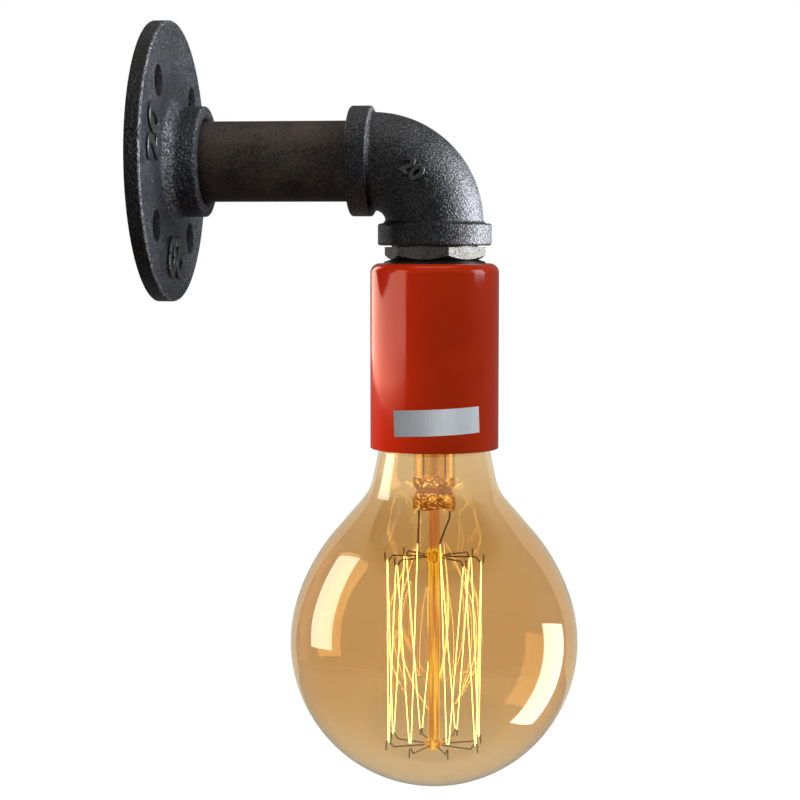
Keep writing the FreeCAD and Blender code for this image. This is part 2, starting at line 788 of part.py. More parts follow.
def make_screw_shell():
    """The threaded brass shell of the holder, open below, riveted to the porcelain's floor."""
    body = new_body("screw_shell")
    length = "(skirt_length - shell_end_margin)"
    outline = draw_outline(
        new_sketch(body, "shell_outline"),
        [
            ("shell_opening_radius", "0"),
            (SHELL_OUTER, "0"),
            (SHELL_OUTER, "-" + length),
            (SHELL_INNER, "-" + length),
            (SHELL_INNER, "-shell_wall"),
            ("shell_opening_radius", "-shell_wall"),
        ],
    )
    revolve(body, outline)
    hole = new_sketch(body, "shell_rivet_hole", "XY_Plane")
    draw_circle(hole, "shell_rivet_x", "shell_rivet_y", RIVET_HOLE)
    pocket(body, hole, "shell_rivet_hole_cut")
    # half a pitch from the bulb's own ridge, so that the two threads pass each other
    middle = "-(%s - %s + cap_thread_start + cap_thread_length - thread_pitch / 2)" % (TIP, FLOOR_BOTTOM)
    ridge = draw_outline(
        new_sketch(body, "shell_ridge"),
        [
            ("%s + shell_wall / 2" % SHELL_INNER, "%s - thread_root_width / 2" % middle),
            ("%s + shell_wall / 2" % SHELL_INNER, "%s + thread_root_width / 2" % middle),
            ("%s - thread_depth" % SHELL_INNER, "%s + thread_crest_width / 2" % middle),
            ("%s - thread_depth" % SHELL_INNER, "%s - thread_crest_width / 2" % middle),
        ],
    )
    helix(body, ridge, "holder_thread_length")
    place(body, x=LAMP_X, z="-%s" % FLOOR_BOTTOM)
    keep(body, "screw_shell")


def make_terminal(name, side, foot):
    """A brass terminal on the porcelain's floor. foot is the plate that the rivet holds."""
    body = new_body(name)
    near = "(terminal_offset - terminal_length / 2)"
    far = "(terminal_offset + terminal_length / 2)"
    left, right = (near, far) if side > 0 else ("-" + far, "-" + near)
    front = "(-lead_wire_side - terminal_width / 2)"
    back = "(-lead_wire_side + terminal_width / 2)"
    block = new_sketch(body, name + "_block", "XY_Plane")
    draw_outline(block, box_corners(left, right, front, back))
    pad(body, block, "terminal_height")
    plate = new_sketch(body, name + "_foot", "XY_Plane")
    draw_outline(plate, box_corners(*foot))
    pad(body, plate, "plate_thickness")
    wire_hole = new_sketch(body, name + "_wire_hole", "YZ_Plane")
    draw_circle(wire_hole, "-lead_wire_side", "terminal_hole_height", "terminal_hole_radius")
    pocket(body, wire_hole, name + "_wire_hole_cut")
    rivet_x, rivet_y = ("shell_rivet_x", "shell_rivet_y") if side > 0 else ("-contact_rivet_offset", "0")
    rivet_hole = new_sketch(body, name + "_rivet_hole", "XY_Plane")
    draw_circle(rivet_hole, rivet_x, rivet_y, RIVET_HOLE)
    pocket(body, rivet_hole, name + "_rivet_hole_cut")
    screw_hole = new_sketch(body, name + "_screw_hole", "XY_Plane")
    draw_circle(screw_hole, "%d * terminal_offset" % side, "-lead_wire_side", SCREW_HOLE)
    screw_hole.AttachmentOffset = Placement(Vector(0, 0, number("terminal_height")), Rotation())
    bind(screw_hole, "AttachmentOffset.Base.z", "terminal_height")
    hole = body.newObject("PartDesign::Pocket", name + "_screw_hole_cut")
    hole.Profile = screw_hole
    bind(hole, "Length", "terminal_height - terminal_hole_height")
    doc.recompute()
    place(body, x=LAMP_X, z="-%s" % FLOOR_TOP)
    keep(body, name)


def make_earth_block():
    """The earth terminal under the bridge."""
    body = new_body("earth_terminal")
    front = "(earth_block_offset - earth_block_length / 2)"
    back = "(earth_block_offset + earth_block_length / 2)"
    block = new_sketch(body, "earth_block", "YZ_Plane")
    draw_outline(block, box_corners(front, back, "-earth_block_height", "0"))
    pad(body, block, "earth_block_width", symmetric=True)
    hole = new_sketch(body, "earth_wire_hole")
    draw_circle(hole, "0", "-" + EARTH_HOLE, "terminal_hole_radius")
    pocket(body, hole, "earth_wire_hole_cut")
    side = new_sketch(body, "earth_screw_hole", "YZ_Plane")
    draw_circle(side, "earth_block_offset", "-" + EARTH_HOLE, SCREW_HOLE)
    side.AttachmentOffset = Placement(Vector(0, 0, number("earth_block_width / 2")), Rotation())
    bind(side, "AttachmentOffset.Base.z", "earth_block_width / 2")
    drill = body.newObject("PartDesign::Pocket", "earth_screw_hole_cut")
    drill.Profile = side
    bind(drill, "Length", "earth_block_width / 2")
    doc.recompute()
    place(body, x=LAMP_X, z="-%s" % POST_TOP)
    keep(body, "earth_terminal")


def make_screw(name, depth, x, y, z, along="z"):
    """A slotted pan-head screw. Its origin is under the head, on the seat."""
    body = new_body(name)
    outline = draw_outline(
        new_sketch(body, name + "_outline"),
        [
            ("0", "-" + depth),
            ("clamp_screw_radius", "-" + depth),
            ("clamp_screw_radius", "0"),
            ("clamp_head_radius", "0"),
            ("clamp_head_radius", "clamp_head * 0.6"),
            ("clamp_head_radius * 0.7", "clamp_head"),
            ("0", "clamp_head"),
        ],
    )
    revolve(body, outline)
    slot = new_sketch(body, name + "_slot", "YZ_Plane")
    half_slot = "clamp_slot_width / 2"
    slot_floor = "(clamp_head - clamp_slot_depth)"
    draw_outline(slot, box_corners("-" + half_slot, half_slot, slot_floor, "2 * clamp_head"))
    pocket(body, slot, name + "_slot_cut")
    if along == "x":
        body.Placement = Placement(Vector(), Rotation(Vector(0, 1, 0), 90))
    place(body, x=x, y=y, z=z)
    return body


def make_screws():
    clamps = []
    for name, side in (("shell_screw", 1), ("contact_screw", -1)):
        x = "%s + %d * terminal_offset" % (LAMP_X, side)
        z = "-(%s - terminal_height)" % FLOOR_TOP
        depth = "(terminal_height - terminal_hole_height - lead_wire_radius)"
        clamps.append(make_screw(name, depth, x, "-lead_wire_side", z))
    z = "-" + EARTH_DEPTH
    x = "%s + earth_block_width / 2" % LAMP_X
    depth = "(earth_block_width / 2 - lead_wire_radius)"
    clamps.append(make_screw("earth_screw", depth, x, "earth_block_offset", z, along="x"))
    keep_group("terminal_screws", clamps)
    fixings = []
    for name, side in (("front_bridge_screw", "-"), ("back_bridge_screw", "")):
        y = side + "bridge_screw_offset"
        z = "-%s" % BRIDGE_TOP
        fixings.append(make_screw(name, "(bridge_thickness + bridge_screw_depth)", LAMP_X, y, z))
    keep_group("bridge_screws", fixings)


def make_rivets():
    """Two rivets through the porcelain's floor: one for the centre contact, one for the shell."""
    rivets = []
    for name, x, y, sheet_below in (
        ("contact_rivet", "%s - contact_rivet_offset" % LAMP_X, "0", "tongue_thickness"),
        ("shell_rivet", "%s + shell_rivet_x" % LAMP_X, "shell_rivet_y", "shell_wall"),
    ):
        body = new_body(name)
        grip = "(floor_thickness + %s)" % sheet_below
        outline = draw_outline(
            new_sketch(body, name + "_outline"),
            [
                ("0", "-(%s + rivet_head)" % grip),
                ("rivet_head_radius", "-(%s + rivet_head)" % grip),
                ("rivet_head_radius", "-" + grip),
                ("rivet_radius", "-" + grip),
                ("rivet_radius", "plate_thickness"),
                ("rivet_head_radius", "plate_thickness"),
                ("rivet_head_radius", "plate_thickness + rivet_head"),
                ("0", "plate_thickness + rivet_head"),
            ],
        )
        revolve(body, outline)
        place(body, x=x, y=y, z="-%s" % FLOOR_TOP)
        rivets.append(body)
    keep_group("contact_rivets", rivets)


def make_tongue():
    """The springy centre contact, riveted under the porcelain's floor."""
    body = new_body("centre_contact")
    strip = draw_outline(
        new_sketch(body, "tongue_outline"),
        [
            ("-(contact_rivet_offset + 2.4)", "0"),
            ("-(contact_rivet_offset + 2.4)", "-tongue_thickness"),
            ("-(contact_rivet_offset - 2.4)", "-tongue_thickness"),
            ("1.2", "-(tongue_thickness + tongue_drop)"),
            ("2.6", "-(tongue_thickness + tongue_drop)"),
            ("3.6", "-(tongue_drop - 0.4)"),
            ("3.1", "-(tongue_drop - 0.6)"),
            ("2.3", "-tongue_drop"),
            ("1.4", "-tongue_drop"),
            ("-(contact_rivet_offset - 2.6)", "0"),
        ],
    )
    pad(body, strip, "tongue_width", symmetric=True)
    hole = new_sketch(body, "tongue_hole", "XY_Plane")
    draw_circle(hole, "-contact_rivet_offset", "0", RIVET_HOLE)
    pocket(body, hole, "tongue_hole_cut")
    place(body, x=LAMP_X, z="-%s" % FLOOR_BOTTOM)
    keep(body, "centre_contact")


def lamp_point(x, y, depth):
    """A point near the lamp's axis, from its offsets and its depth below the pipe's axis."""
    return Vector(number("%s + %s" % (LAMP_X, x)), number(y), -number(depth))


def make_leads():
    """Three insulated leads from the pipe's wall end, through the bend and the tube, to the terminals."""
    wall_end = number("ferrule_tip + ferrule_pin_length + ferrule_length / 2")
    bend = number("lead_wire_bend")
    small = number("lead_wire_small_bend")
    radius = number("lead_wire_radius")
    reach = "(terminal_offset + lead_wire_radius)"
    routes = {
        "live_lead": ("-lead_wire_offset", "-lead_wire_side", HOLE_DEPTH, ("-" + reach, "-lead_wire_side")),
        "neutral_lead": ("lead_wire_offset", "-lead_wire_side", HOLE_DEPTH, (reach, "-lead_wire_side")),
        "earth_lead": ("0", "earth_wire_side", EARTH_DEPTH, ("0", "earth_block_offset + lead_wire_radius")),
    }
    ferrules = []
    for name, (offset, side, depth, (end_x, end_y)) in routes.items():
        height = number(offset)
        start = Vector(wall_end, number(side), height)
        corner = lamp_point(offset, side, "-(%s)" % offset)
        down = lamp_point(offset, side, depth)
        end = lamp_point(end_x, end_y, depth)
        upper = rounded_path([start, corner, (corner + down) / 2], bend)
        lower = rounded_path([(corner + down) / 2, down, end], small)
        path = Part.Wire(upper.Edges + lower.Edges)
        section = Part.Wire(Part.Circle(start, Vector(1, 0, 0), radius).toShape())
        solid = path.makePipeShell([section], True, True)
        expected = math.pi * radius**2 * path.Length
        if abs(solid.Volume - expected) > 0.03 * expected:
            raise RuntimeError(name + " has the wrong volume")
        print(name, "length %.1f" % path.Length)
        from_shape(name, solid)
        ferrules.append(make_ferrule(name + "_ferrule", side, offset))
    keep_group("lead_ferrules", ferrules)


def make_ferrule(name, y, z):
    """The crimped sleeve on a lead's wall end: a collar over the insulation and a pin."""
    body = new_body(name)
    collar = "ferrule_pin_length"
    outline = draw_outline(
        new_sketch(body, name + "_outline"),
        [
            ("0", "0"),
            ("0", "ferrule_pin_radius"),
            (collar, "ferrule_pin_radius"),
            (collar, "ferrule_radius"),
            ("%s + ferrule_length" % collar, "ferrule_radius"),
            ("%s + ferrule_length" % collar, "lead_wire_radius + thread_gap"),
            ("%s + ferrule_length / 2" % collar, "lead_wire_radius + thread_gap"),
            ("%s + ferrule_length / 2" % collar, "0"),
        ],
    )
    revolve(body, outline, "H_Axis")
    place(body, x="ferrule_tip", y=y, z=z)
    return body


def globe_outline(inset):
    """The globe from its bottom to its sealed neck, set in by a wall. Heights are from its centre."""
    outer = "(bulb_radius - %s)" % inset
    shoulder_end = "%s - shoulder_end_below_throat" % THROAT
    return [
        ("0", "-%s" % outer),
        ("sqrt(%s ^ 2 - shoulder_start ^ 2)" % outer, "shoulder_start", outer, 1),
        ("shoulder_end_radius - %s" % inset, shoulder_end, "shoulder_curve - %s" % inset, 1),
        ("flare_radius - %s" % inset, "%s - flare_below_throat" % THROAT),
        ("neck_radius - %s" % inset, "%s - neck_below_throat" % THROAT, "neck_curve", -1),
        ("throat_radius - %s" % inset, THROAT),
        ("seal_radius - %s" % inset, SEAL_START),
        ("seal_radius - %s" % inset, SEAL_END),
    ]


def make_glass():
    body = new_body("bulb_glass")
    outside = new_sketch(body, "glass_outside")
    draw_outline(outside, globe_outline("0") + [("0", SEAL_END)])
    revolve(body, outside)
    before = body.Shape.Volume
    hollow = body.newObject("PartDesign::Groove", "glass_hollow")
    inside = new_sketch(body, "glass_inside")
    hollow.Profile = draw_outline(inside, globe_outline("glass_wall") + [("0", SEAL_END)])
    hollow.ReferenceAxis = (hollow.Profile[0], ["V_Axis"])
    hollow.Angle = 360
    doc.recompute()
    if not body.Shape.Volume < before:
        raise RuntimeError("the globe is not hollow")
    place(body, x=LAMP_X, z=BULB_CENTRE)
    keep(body, "bulb_glass")


def make_cap():
    """The bulb's screw cap, with its insulator, centre contact and cement."""
    body = new_body("bulb_cap")
    inner = "(cap_root_radius - cap_wall)"
    outline = draw_outline(
        new_sketch(body, "cap_outline"),
        [
            ("cap_root_radius - insulator_inset", "-cap_shoulder"),
            ("cap_root_radius", "-cap_shoulder"),
            ("cap_root_radius", "-cap_length"),
            (inner, "-cap_length"),
            (inner, "-(cap_shoulder + cap_wall)"),
            ("cap_root_radius - insulator_inset", "-(cap_shoulder + cap_wall)"),
        ],
    )
    revolve(body, outline)
    middle = "-(cap_thread_start + cap_thread_length)"
    root = "(cap_root_radius - cap_wall / 2)"
    crest = "(cap_root_radius + thread_depth)"
    ridge = draw_outline(
        new_sketch(body, "cap_ridge"),
        [
            (root, "%s - thread_root_width / 2" % middle),
            (crest, "%s - thread_crest_width / 2" % middle),
            (crest, "%s + thread_crest_width / 2" % middle),
            (root, "%s + thread_root_width / 2" % middle),
        ],
    )
    helix(body, ridge, "cap_thread_length")
    place(body, x=LAMP_X, z="-%s" % TIP)
    keep(body, "bulb_cap")
    plug = "(cap_root_radius - insulator_inset - thread_gap)"
    turned_piece(
        "cap_insulator",
        [
            ("0", "-cap_contact_height"),
            ("insulator_top_radius", "-cap_contact_height"),
            ("cap_root_radius - insulator_inset / 2", "-(cap_shoulder - insulator_lip)"),
            ("cap_root_radius - insulator_inset / 2", "-(cap_shoulder - thread_gap)"),
            (plug, "-(cap_shoulder - thread_gap)"),
            (plug, "-(cap_shoulder + insulator_depth)"),
            ("0", "-(cap_shoulder + insulator_depth)"),
        ],
        z="-%s" % TIP,
    )
    turned_piece(
        "cap_contact",
        [
            ("0", "-cap_contact_height"),
            ("cap_contact_radius", "-cap_contact_height"),
            ("cap_contact_radius * 0.85", "-0.3"),
            ("cap_contact_radius * 0.4", "0"),
            ("0", "0"),
        ],
        z="-%s" % TIP,
    )
    turned_piece(
        "cap_cement",
        box_corners("seal_radius", inner, "-(cap_length - 1)", "-(cap_length - 1 - cement_length)"),
        z="-%s" % TIP,
    )


def make_stem():
    """The flared glass stem, its pinch, the exhaust tube and the rod down the middle."""
    neck = "(seal_radius - glass_wall)"
    turned_piece(
        "bulb_stem",
        [
            ("stem_radius - stem_wall", STEM_END),
            ("stem_radius", STEM_END),
            ("stem_radius", SEAL_START),
            (neck, "%s - stem_wall" % SEAL_END),
            (neck, SEAL_END),
            ("%s - stem_wall" % neck, SEAL_END),
            ("stem_radius - stem_wall", SEAL_START),
        ],
        z=BULB_CENTRE,
    )
    exhaust_top = "%s + exhaust_above_seal" % SEAL_END
    turned_piece(
        "exhaust_tube",
        box_corners("exhaust_radius - exhaust_wall", "exhaust_radius", STEM_END, exhaust_top),
        z=BULB_CENTRE,
    )
    pinch = new_body("stem_pinch")
    outline = new_sketch(pinch, "pinch_outline", "XY_Plane")
    draw_outline(
        outline,
        box_corners("-pinch_width / 2", "pinch_width / 2", "-pinch_depth / 2", "pinch_depth / 2"),
    )
    pad(pinch, outline, "pinch_height")
    sides = [
        "Edge%d" % index
        for index, edge in enumerate(pinch.Shape.Edges, 1)
        if abs(edge.Vertexes[0].Point.z - edge.Vertexes[1].Point.z) > 1
    ]
    dress(pinch, "Fillet", "pinch_rounds", sides, "Radius", "pinch_round")
    place(pinch, x=LAMP_X, z="%s + %s" % (BULB_CENTRE, PINCH_END))
    keep(pinch, "stem_pinch")
    slope = "(rod_bead_radius - rod_radius) / 2"
    flat = "rod_bead_half * 0.6"
    rod = [("0", PINCH_END), ("rod_radius", PINCH_END)]
    rod += [
        ("rod_radius", "%s + rod_bead_half + %s" % (CAGE_TOP, slope)),
        ("rod_bead_radius", "%s + %s" % (CAGE_TOP, flat)),
        ("rod_bead_radius", "%s - %s" % (CAGE_TOP, flat)),
        ("rod_radius", "%s - rod_bead_half - %s" % (CAGE_TOP, slope)),
        ("rod_radius", "%s + rod_bead_half + %s" % (CAGE_LOW, slope)),
        ("rod_bead_radius", "%s + %s" % (CAGE_LOW, flat)),
        ("rod_bead_radius", "%s - %s" % (CAGE_LOW, flat)),
        ("rod_radius", ROD_FOOT),
        ("0", ROD_FOOT),
    ]
    turned_piece("centre_rod", rod, z=BULB_CENTRE)


def cage_point(angle, radius, height):
    """A point of the filament cage, about the lamp's axis, from the globe's centre."""
    turned = math.radians(angle)
    return Vector(radius * math.cos(turned), radius * math.sin(turned), height)


def make_cage():
    """Support hooks, lead-in wires and the zigzag filament that is strung between the hooks.

    The filament's two ends hang from the lead-in wires, where the ring of upper hooks is open.
    """
    upper = int(number("upper_hooks_count"))
    step = 360.0 / (upper + 1)
    front = -90.0
    top = number(CAGE_TOP)
    low = number(CAGE_LOW)
    reach = number("cage_radius")
    crown = number("hook_crown")
    x, z = number(LAMP_X), number(BULB_CENTRE)
    lower_angles = [front + step * (index + 0.5) for index in range(upper + 1)]
    upper_angles = [front + step * (index + 1) for index in range(upper)]
    for name, angles, height, toward in (
        ("upper_hooks", upper_angles, top, -1),
        ("lower_hooks", lower_angles, low, 1),
    ):
        hooks = [hook(angle, height, toward) for angle in angles]
        from_shape(name, Part.makeCompound(hooks), x, z)
    # a strand leans from one side of a hook to the other side of the next one
    bend = number("hook_radius + filament_gap + filament_radius")
    chord = 2 * reach * math.sin(math.radians(step / 4))
    height = top - low - 2 * crown
    lean = math.atan2(chord, height) - math.asin(2 * bend / math.hypot(chord, height))
    beyond = bend / math.sin(lean)
    tip_angle = math.degrees(math.asin(number("lead_tip_side") / reach))
    tip_height = top + number("lead_tip_height")
    points = [cage_point(front + tip_angle, reach, tip_height)]
    for index, angle in enumerate(lower_angles):
        points.append(cage_point(angle, reach, low + crown - beyond))
        if index < upper:
            points.append(cage_point(upper_angles[index], reach, top - crown + beyond))
    points.append(cage_point(front - tip_angle, reach, tip_height))
    filament = wire_shape(points, bend, number("filament_radius"))
    from_shape("filament", filament, x, z)
    print("filament strands", len(points) - 1)
    inside = reach - number("lead_radius + filament_radius")
    leads = []
    for side in (-1, 1):
        start = Vector(side * number("lead_spread"), 0, number(PINCH_END))
        knee = start - Vector(0, 0, number("lead_drop"))
        angle = front + side * tip_angle
        crimp = cage_point(angle, inside, tip_height + number("lead_crimp / 2"))
        end = cage_point(angle, inside, tip_height - number("lead_crimp / 2"))
        leads.append(wire_shape([start, knee, crimp, end], number("lead_bend"), number("lead_radius")))
    from_shape("lead_in_wires", Part.makeCompound(leads), x, z)
    make_cap_leads(x, z)


def hook(angle, height, toward):
    """One wire out from the rod's bead, with a crook at its end that the filament turns round."""
    reach = number("cage_radius")
    crown = height + toward * number("hook_crown")
    points = [
        cage_point(angle, number("rod_bead_radius"), height),
        cage_point(angle, reach - number("hook_crook"), height),
        cage_point(angle, reach - number("hook_crown_inside"), crown),
        cage_point(angle, reach + number("hook_crown_outside"), crown),
        cage_point(angle, reach + number("hook_tail_reach"), crown - toward * number("hook_tail")),
    ]
    return wire_shape(points, number("hook_bend"), number("hook_radius"))


def make_cap_leads(x, z):
    """The two thin wires up the stem, from the pinch to the cap's contact and its shell."""
    radius = number("lead_radius")
    bend = number("lead_bend")
    start = number(STEM_END)
    tip = number(BULB_TOP)
    spread = number("stem_radius - stem_wall") * 0.6
    under_cap = number("%s + exhaust_above_seal - lead_radius" % SEAL_END)
    inner = number("cap_root_radius - cap_wall")
    centre_way = [
        Vector(-spread, 0, start),
        Vector(-spread, 0, under_cap),
        Vector(-spread / 2, 0, tip - number("cap_shoulder + insulator_depth + lead_radius")),
    ]
    shell_way = [
        Vector(spread, 0, start),
        Vector(spread, 0, under_cap),
        Vector(inner - radius, 0, under_cap + bend),
    ]
    wires = [wire_shape(way, bend, radius) for way in (centre_way, shell_way)]
    from_shape("cap_leads", Part.makeCompound(wires), x, z)


BULB_CENTRE = "-(%s + %s)" % (TIP, BULB_TOP)

make_flange()
make_pipe()
make_elbow()
make_bush()
make_tube_and_clamps()
make_cup()
make_bridge()
make_porcelain()
make_screw_shell()
make_terminal(
    "shell_terminal",
    1,
    (
        "shell_rivet_x - rivet_head_radius - 0.2",
        "shell_rivet_x + rivet_head_radius + 0.2",
        "-lead_wire_side",
        "shell_rivet_y + rivet_head_radius",
    ),
)
make_terminal(
    "contact_terminal",
    -1,
    (
        "-terminal_offset",
        "-(contact_rivet_offset - rivet_head_radius - 0.4)",
        "-(rivet_head_radius + 0.5)",
        "(rivet_head_radius + 0.2)",
    ),
)
make_earth_block()
make_screws()
make_rivets()
make_tongue()
make_leads()
make_glass()
make_cap()
make_stem()
make_cage()

doc.recompute()
for thing in doc.Objects:
    if "Invalid" in thing.State or "Error" in thing.State:
        raise RuntimeError("%s did not build: %s" % (thing.Name, thing.State))
for name, thing in pieces.items():
    if thing.Shape.isNull() or not thing.Shape.isValid():
        raise RuntimeError(name + " has no valid shape")

os.makedirs("parts", exist_ok=True)
for name, thing in pieces.items():
    thing.Shape.exportStep("parts/%s.step" % name)
    print("%-18s solids %2d volume %9.1f" % (name, len(thing.Shape.Solids), thing.Shape.Volume))
print(len(pieces), "pieces")
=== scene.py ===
"""The pipe wall light as it looks: materials, finer shapes for some pieces, studio and camera.

Lengths are in metres. X points out from the wall, Y away from the camera and Z up.
"""

import math

import bmesh
import bpy
from mathutils import Matrix, Vector


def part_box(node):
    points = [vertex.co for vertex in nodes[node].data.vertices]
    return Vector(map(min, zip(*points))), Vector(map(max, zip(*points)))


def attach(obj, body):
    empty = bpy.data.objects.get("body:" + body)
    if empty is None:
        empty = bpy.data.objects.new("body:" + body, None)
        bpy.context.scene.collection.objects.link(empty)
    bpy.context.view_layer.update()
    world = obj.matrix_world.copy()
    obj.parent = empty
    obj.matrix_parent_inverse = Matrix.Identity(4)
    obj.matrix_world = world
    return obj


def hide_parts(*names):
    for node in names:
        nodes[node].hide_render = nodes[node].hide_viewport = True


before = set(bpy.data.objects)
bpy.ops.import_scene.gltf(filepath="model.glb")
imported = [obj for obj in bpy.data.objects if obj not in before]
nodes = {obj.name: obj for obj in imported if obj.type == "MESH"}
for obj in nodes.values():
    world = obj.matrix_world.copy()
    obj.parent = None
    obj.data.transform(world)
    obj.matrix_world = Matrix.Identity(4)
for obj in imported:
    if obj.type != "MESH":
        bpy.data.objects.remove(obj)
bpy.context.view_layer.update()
scene = bpy.context.scene

MM = 0.001

# Sizes of the CAD model that the paint and the finer shapes go by
LAMP_X = 0.0935
BULB_RADIUS = 0.0483
BULB_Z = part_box("bulb_glass")[0][2] + BULB_RADIUS
FLANGE_THICKNESS = 5.3 * MM
SCREW_CIRCLE_RADIUS = 33.4 * MM
SCREW_TURNS = (40, 130, 220, 310)
ELBOW_RADIUS = 16.2 * MM

CUP_LOW, CUP_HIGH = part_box("lampholder_cup")
CUP_RADIUS = (CUP_HIGH[0] - CUP_LOW[0]) / 2
CUP_HEIGHT = CUP_HIGH[2] - CUP_LOW[2]
PINCH_LOW, PINCH_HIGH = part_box("stem_pinch")


# ---------------------------------------------------------------- material helpers

# Most values of a noise lie between these two
NOISE_SPAN = (0.3, 0.7)


class Nodes:
    """Short calls for the nodes of one tree. A value is a number, a tuple or a node's output."""

    def __init__(self, tree):
        self.tree = tree

    def fill(self, inputs, pairs):
        """Gives sockets their values, from (socket, value) pairs."""
        for socket, value in pairs:
            if isinstance(value, bpy.types.NodeSocket):
                self.tree.links.new(value, inputs[socket])
            elif inputs[socket].type == "RGBA":
                inputs[socket].default_value = (*value, 1.0)
            else:
                inputs[socket].default_value = value

    def node(self, kind, pairs=(), **settings):
        """Adds a node and gives its outputs."""
        node = self.tree.nodes.new("ShaderNode" + kind)
        for key, value in settings.items():
            setattr(node, key, value)
        self.fill(node.inputs, pairs)
        return node.outputs

    def math(self, operation, first, second=0.0, **settings):
        pairs = [(0, first), (1, second)]
        return self.node("Math", pairs, operation=operation, **settings)["Value"]

    def times(self, first, second):
        return self.math("MULTIPLY", first, second)

    def larger(self, first, second):
        return self.math("MAXIMUM", first, second)

    def distance(self, first, second):
        return self.math("ABSOLUTE", self.math("SUBTRACT", first, second))

    def spread(self, value, low, high, to_low=0.0, to_high=1.0):
        """Maps a value's range on another, smoothly and held at its ends."""
        pairs = [
            ("Value", value),
            ("From Min", low),
            ("From Max", high),
            ("To Min", to_low),
            ("To Max", to_high),
        ]
        return self.node("MapRange", pairs, interpolation_type="SMOOTHSTEP")["Result"]

    def split(self, vector):
        """The X, Y and Z outputs of a vector."""
        return self.node("SeparateXYZ", [("Vector", vector)])


class Shader(Nodes):
    """A material with one principled surface. _ stands for a space in a socket's name."""

    def __init__(self, name, **sockets):
        self.material = bpy.data.materials.new(name)
        self.material.use_nodes = True
        super().__init__(self.material.node_tree)
        self.wear(**sockets)

    def wear(self, **sockets):
        """Gives sockets of the surface their values."""
        pairs = [(socket.replace("_", " "), value) for socket, value in sockets.items()]
        self.fill(self.tree.nodes["Principled BSDF"].inputs, pairs)

    def where(self):
        """The place on the piece, in the frame's own metres."""
        return self.node("TexCoord")["Object"]

    def noise(self, scale, detail=4.0, rough=0.5, stretch=(1, 1, 1), distort=0.0):
        """Noise with about scale lumps to a metre, fewer along the axes where stretch is small."""
        stretched = self.node("Mapping", [("Vector", self.where()), ("Scale", stretch)])
        pairs = [
            ("Vector", stretched["Vector"]),
            ("Scale", scale),
            ("Detail", detail),
            ("Roughness", rough),
            ("Distortion", distort),
        ]
        return self.node("TexNoise", pairs)["Fac"]

    def weigh(self, first, second, share):
        """The sum of a share of the first value and the rest of the second."""
        return self.math("ADD", self.times(first, share), self.times(second, 1 - share))

    def mix(self, amount, first, second):
        """A colour between two others. The numbers are the sockets of the mix of colours."""
        return self.node("Mix", [(0, amount), (6, first), (7, second)], data_type="RGBA")[2]

    def tint(self, value, low, high, first, second):
        """A colour that goes from first to second as the value goes from low to high."""
        return self.mix(self.spread(value, low, high), first, second)

    def bump(self, height, strength, depth, under=None):
        """Relief of a depth in metres, on top of the relief under it."""
        pairs = [("Height", height), ("Strength", strength), ("Distance", depth)]
        if under is not None:
            pairs.append(("Normal", under))
        return self.node("Bump", pairs)["Normal"]

    def off_axis(self, axis, centre=(0, 0, 0)):
        """Distance from a line along an axis through centre, and the place along that line."""
        moved = self.node("VectorMath", [(0, self.where()), (1, centre)], operation="SUBTRACT")
        parts = self.split(moved["Vector"])
        squares = [self.times(parts[name], parts[name]) for name in "XYZ" if name != axis]
        return self.math("SQRT", self.math("ADD", *squares)), parts[axis]


def paint(shader, *names):
    """Gives CAD nodes their material."""
    for name in names:
        materials = nodes[name].data.materials
        materials.clear()
        materials.append(shader.material)


# ---------------------------------------------------------------- mesh helpers


def add_piece(name, mesh, body, shader):
    """A piece that rides on a body and belongs to a material slot."""
    piece = bpy.data.objects.new(name, mesh)
    scene.collection.objects.link(piece)
    piece.data.materials.append(shader.material)
    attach(piece, body)
    return piece


def to_mesh(made, name, smooth=True):
    """Turns a bmesh into a mesh and frees it."""
    for face in made.faces:
        face.smooth = smooth
    mesh = bpy.data.meshes.new(name)
    made.to_mesh(mesh)
    made.free()
    return mesh


def arc(start, end, radius, side, count):
    """Points of the minor arc after start, to end. side 1 bulges to the right of the way."""
    start, end = Vector(start), Vector(end)
    chord = end - start
    normal = Vector((-chord.y, chord.x)).normalized()
    centre = (start + end) / 2 + normal * side * math.sqrt(radius**2 - (chord.length / 2) ** 2)
    first = start - centre
    sweep = 2 * math.asin(chord.length / 2 / radius) * side
    turns = [Matrix.Rotation(sweep * step / count, 2) for step in range(1, count + 1)]
    return [centre + turn @ first for turn in turns]


def trace(start, steps):
    """Points of an outline in metres, from numbers in mm.

    A step goes on to its end with a count of points: (end, count) is a straight line and
    (end, count, radius, side) an arc.
    """
    points = [Vector(start) * MM]
    start = points[0]
    for end, count, *bend in steps:
        end = Vector(end) * MM
        if bend:
            radius, side = bend
            points += arc(start, end, radius * MM, side, count)
        else:
            points += [start.lerp(end, step / count) for step in range(1, count + 1)]
        start = end
    return points


def join_rings(made, rings):
    """Faces between neighbouring rings. A ring of one corner is a tip."""
    for lower, upper in zip(rings, rings[1:]):
        count = max(len(lower), len(upper))
        for step in range(count):
            after = (step + 1) % count
            if len(lower) == 1:
                corners = (lower[0], upper[after], upper[step])
            elif len(upper) == 1:
                corners = (lower[step], lower[after], upper[0])
            else:
                corners = (lower[step], lower[after], upper[after], upper[step])
            made.faces.new(corners)


def lathe(name, profile, centre, segments=160):
    """A surface from a profile of (radius, height) turned about an upright line at centre."""
    tip_radius = 1e-7
    made = bmesh.new()
    rings = []
    for radius, height in profile:
        if radius < tip_radius:
            rings.append([made.verts.new(Vector((0, 0, height)) + centre)])
            continue
        ring = []
        for step in range(segments):
            angle = 2 * math.pi * step / segments
            spot = Vector((radius * math.cos(angle), radius * math.sin(angle), height))
            ring.append(made.verts.new(spot + centre))
        rings.append(ring)
    join_rings(made, rings)
    bmesh.ops.recalc_face_normals(made, faces=made.faces)
    return to_mesh(made, name)


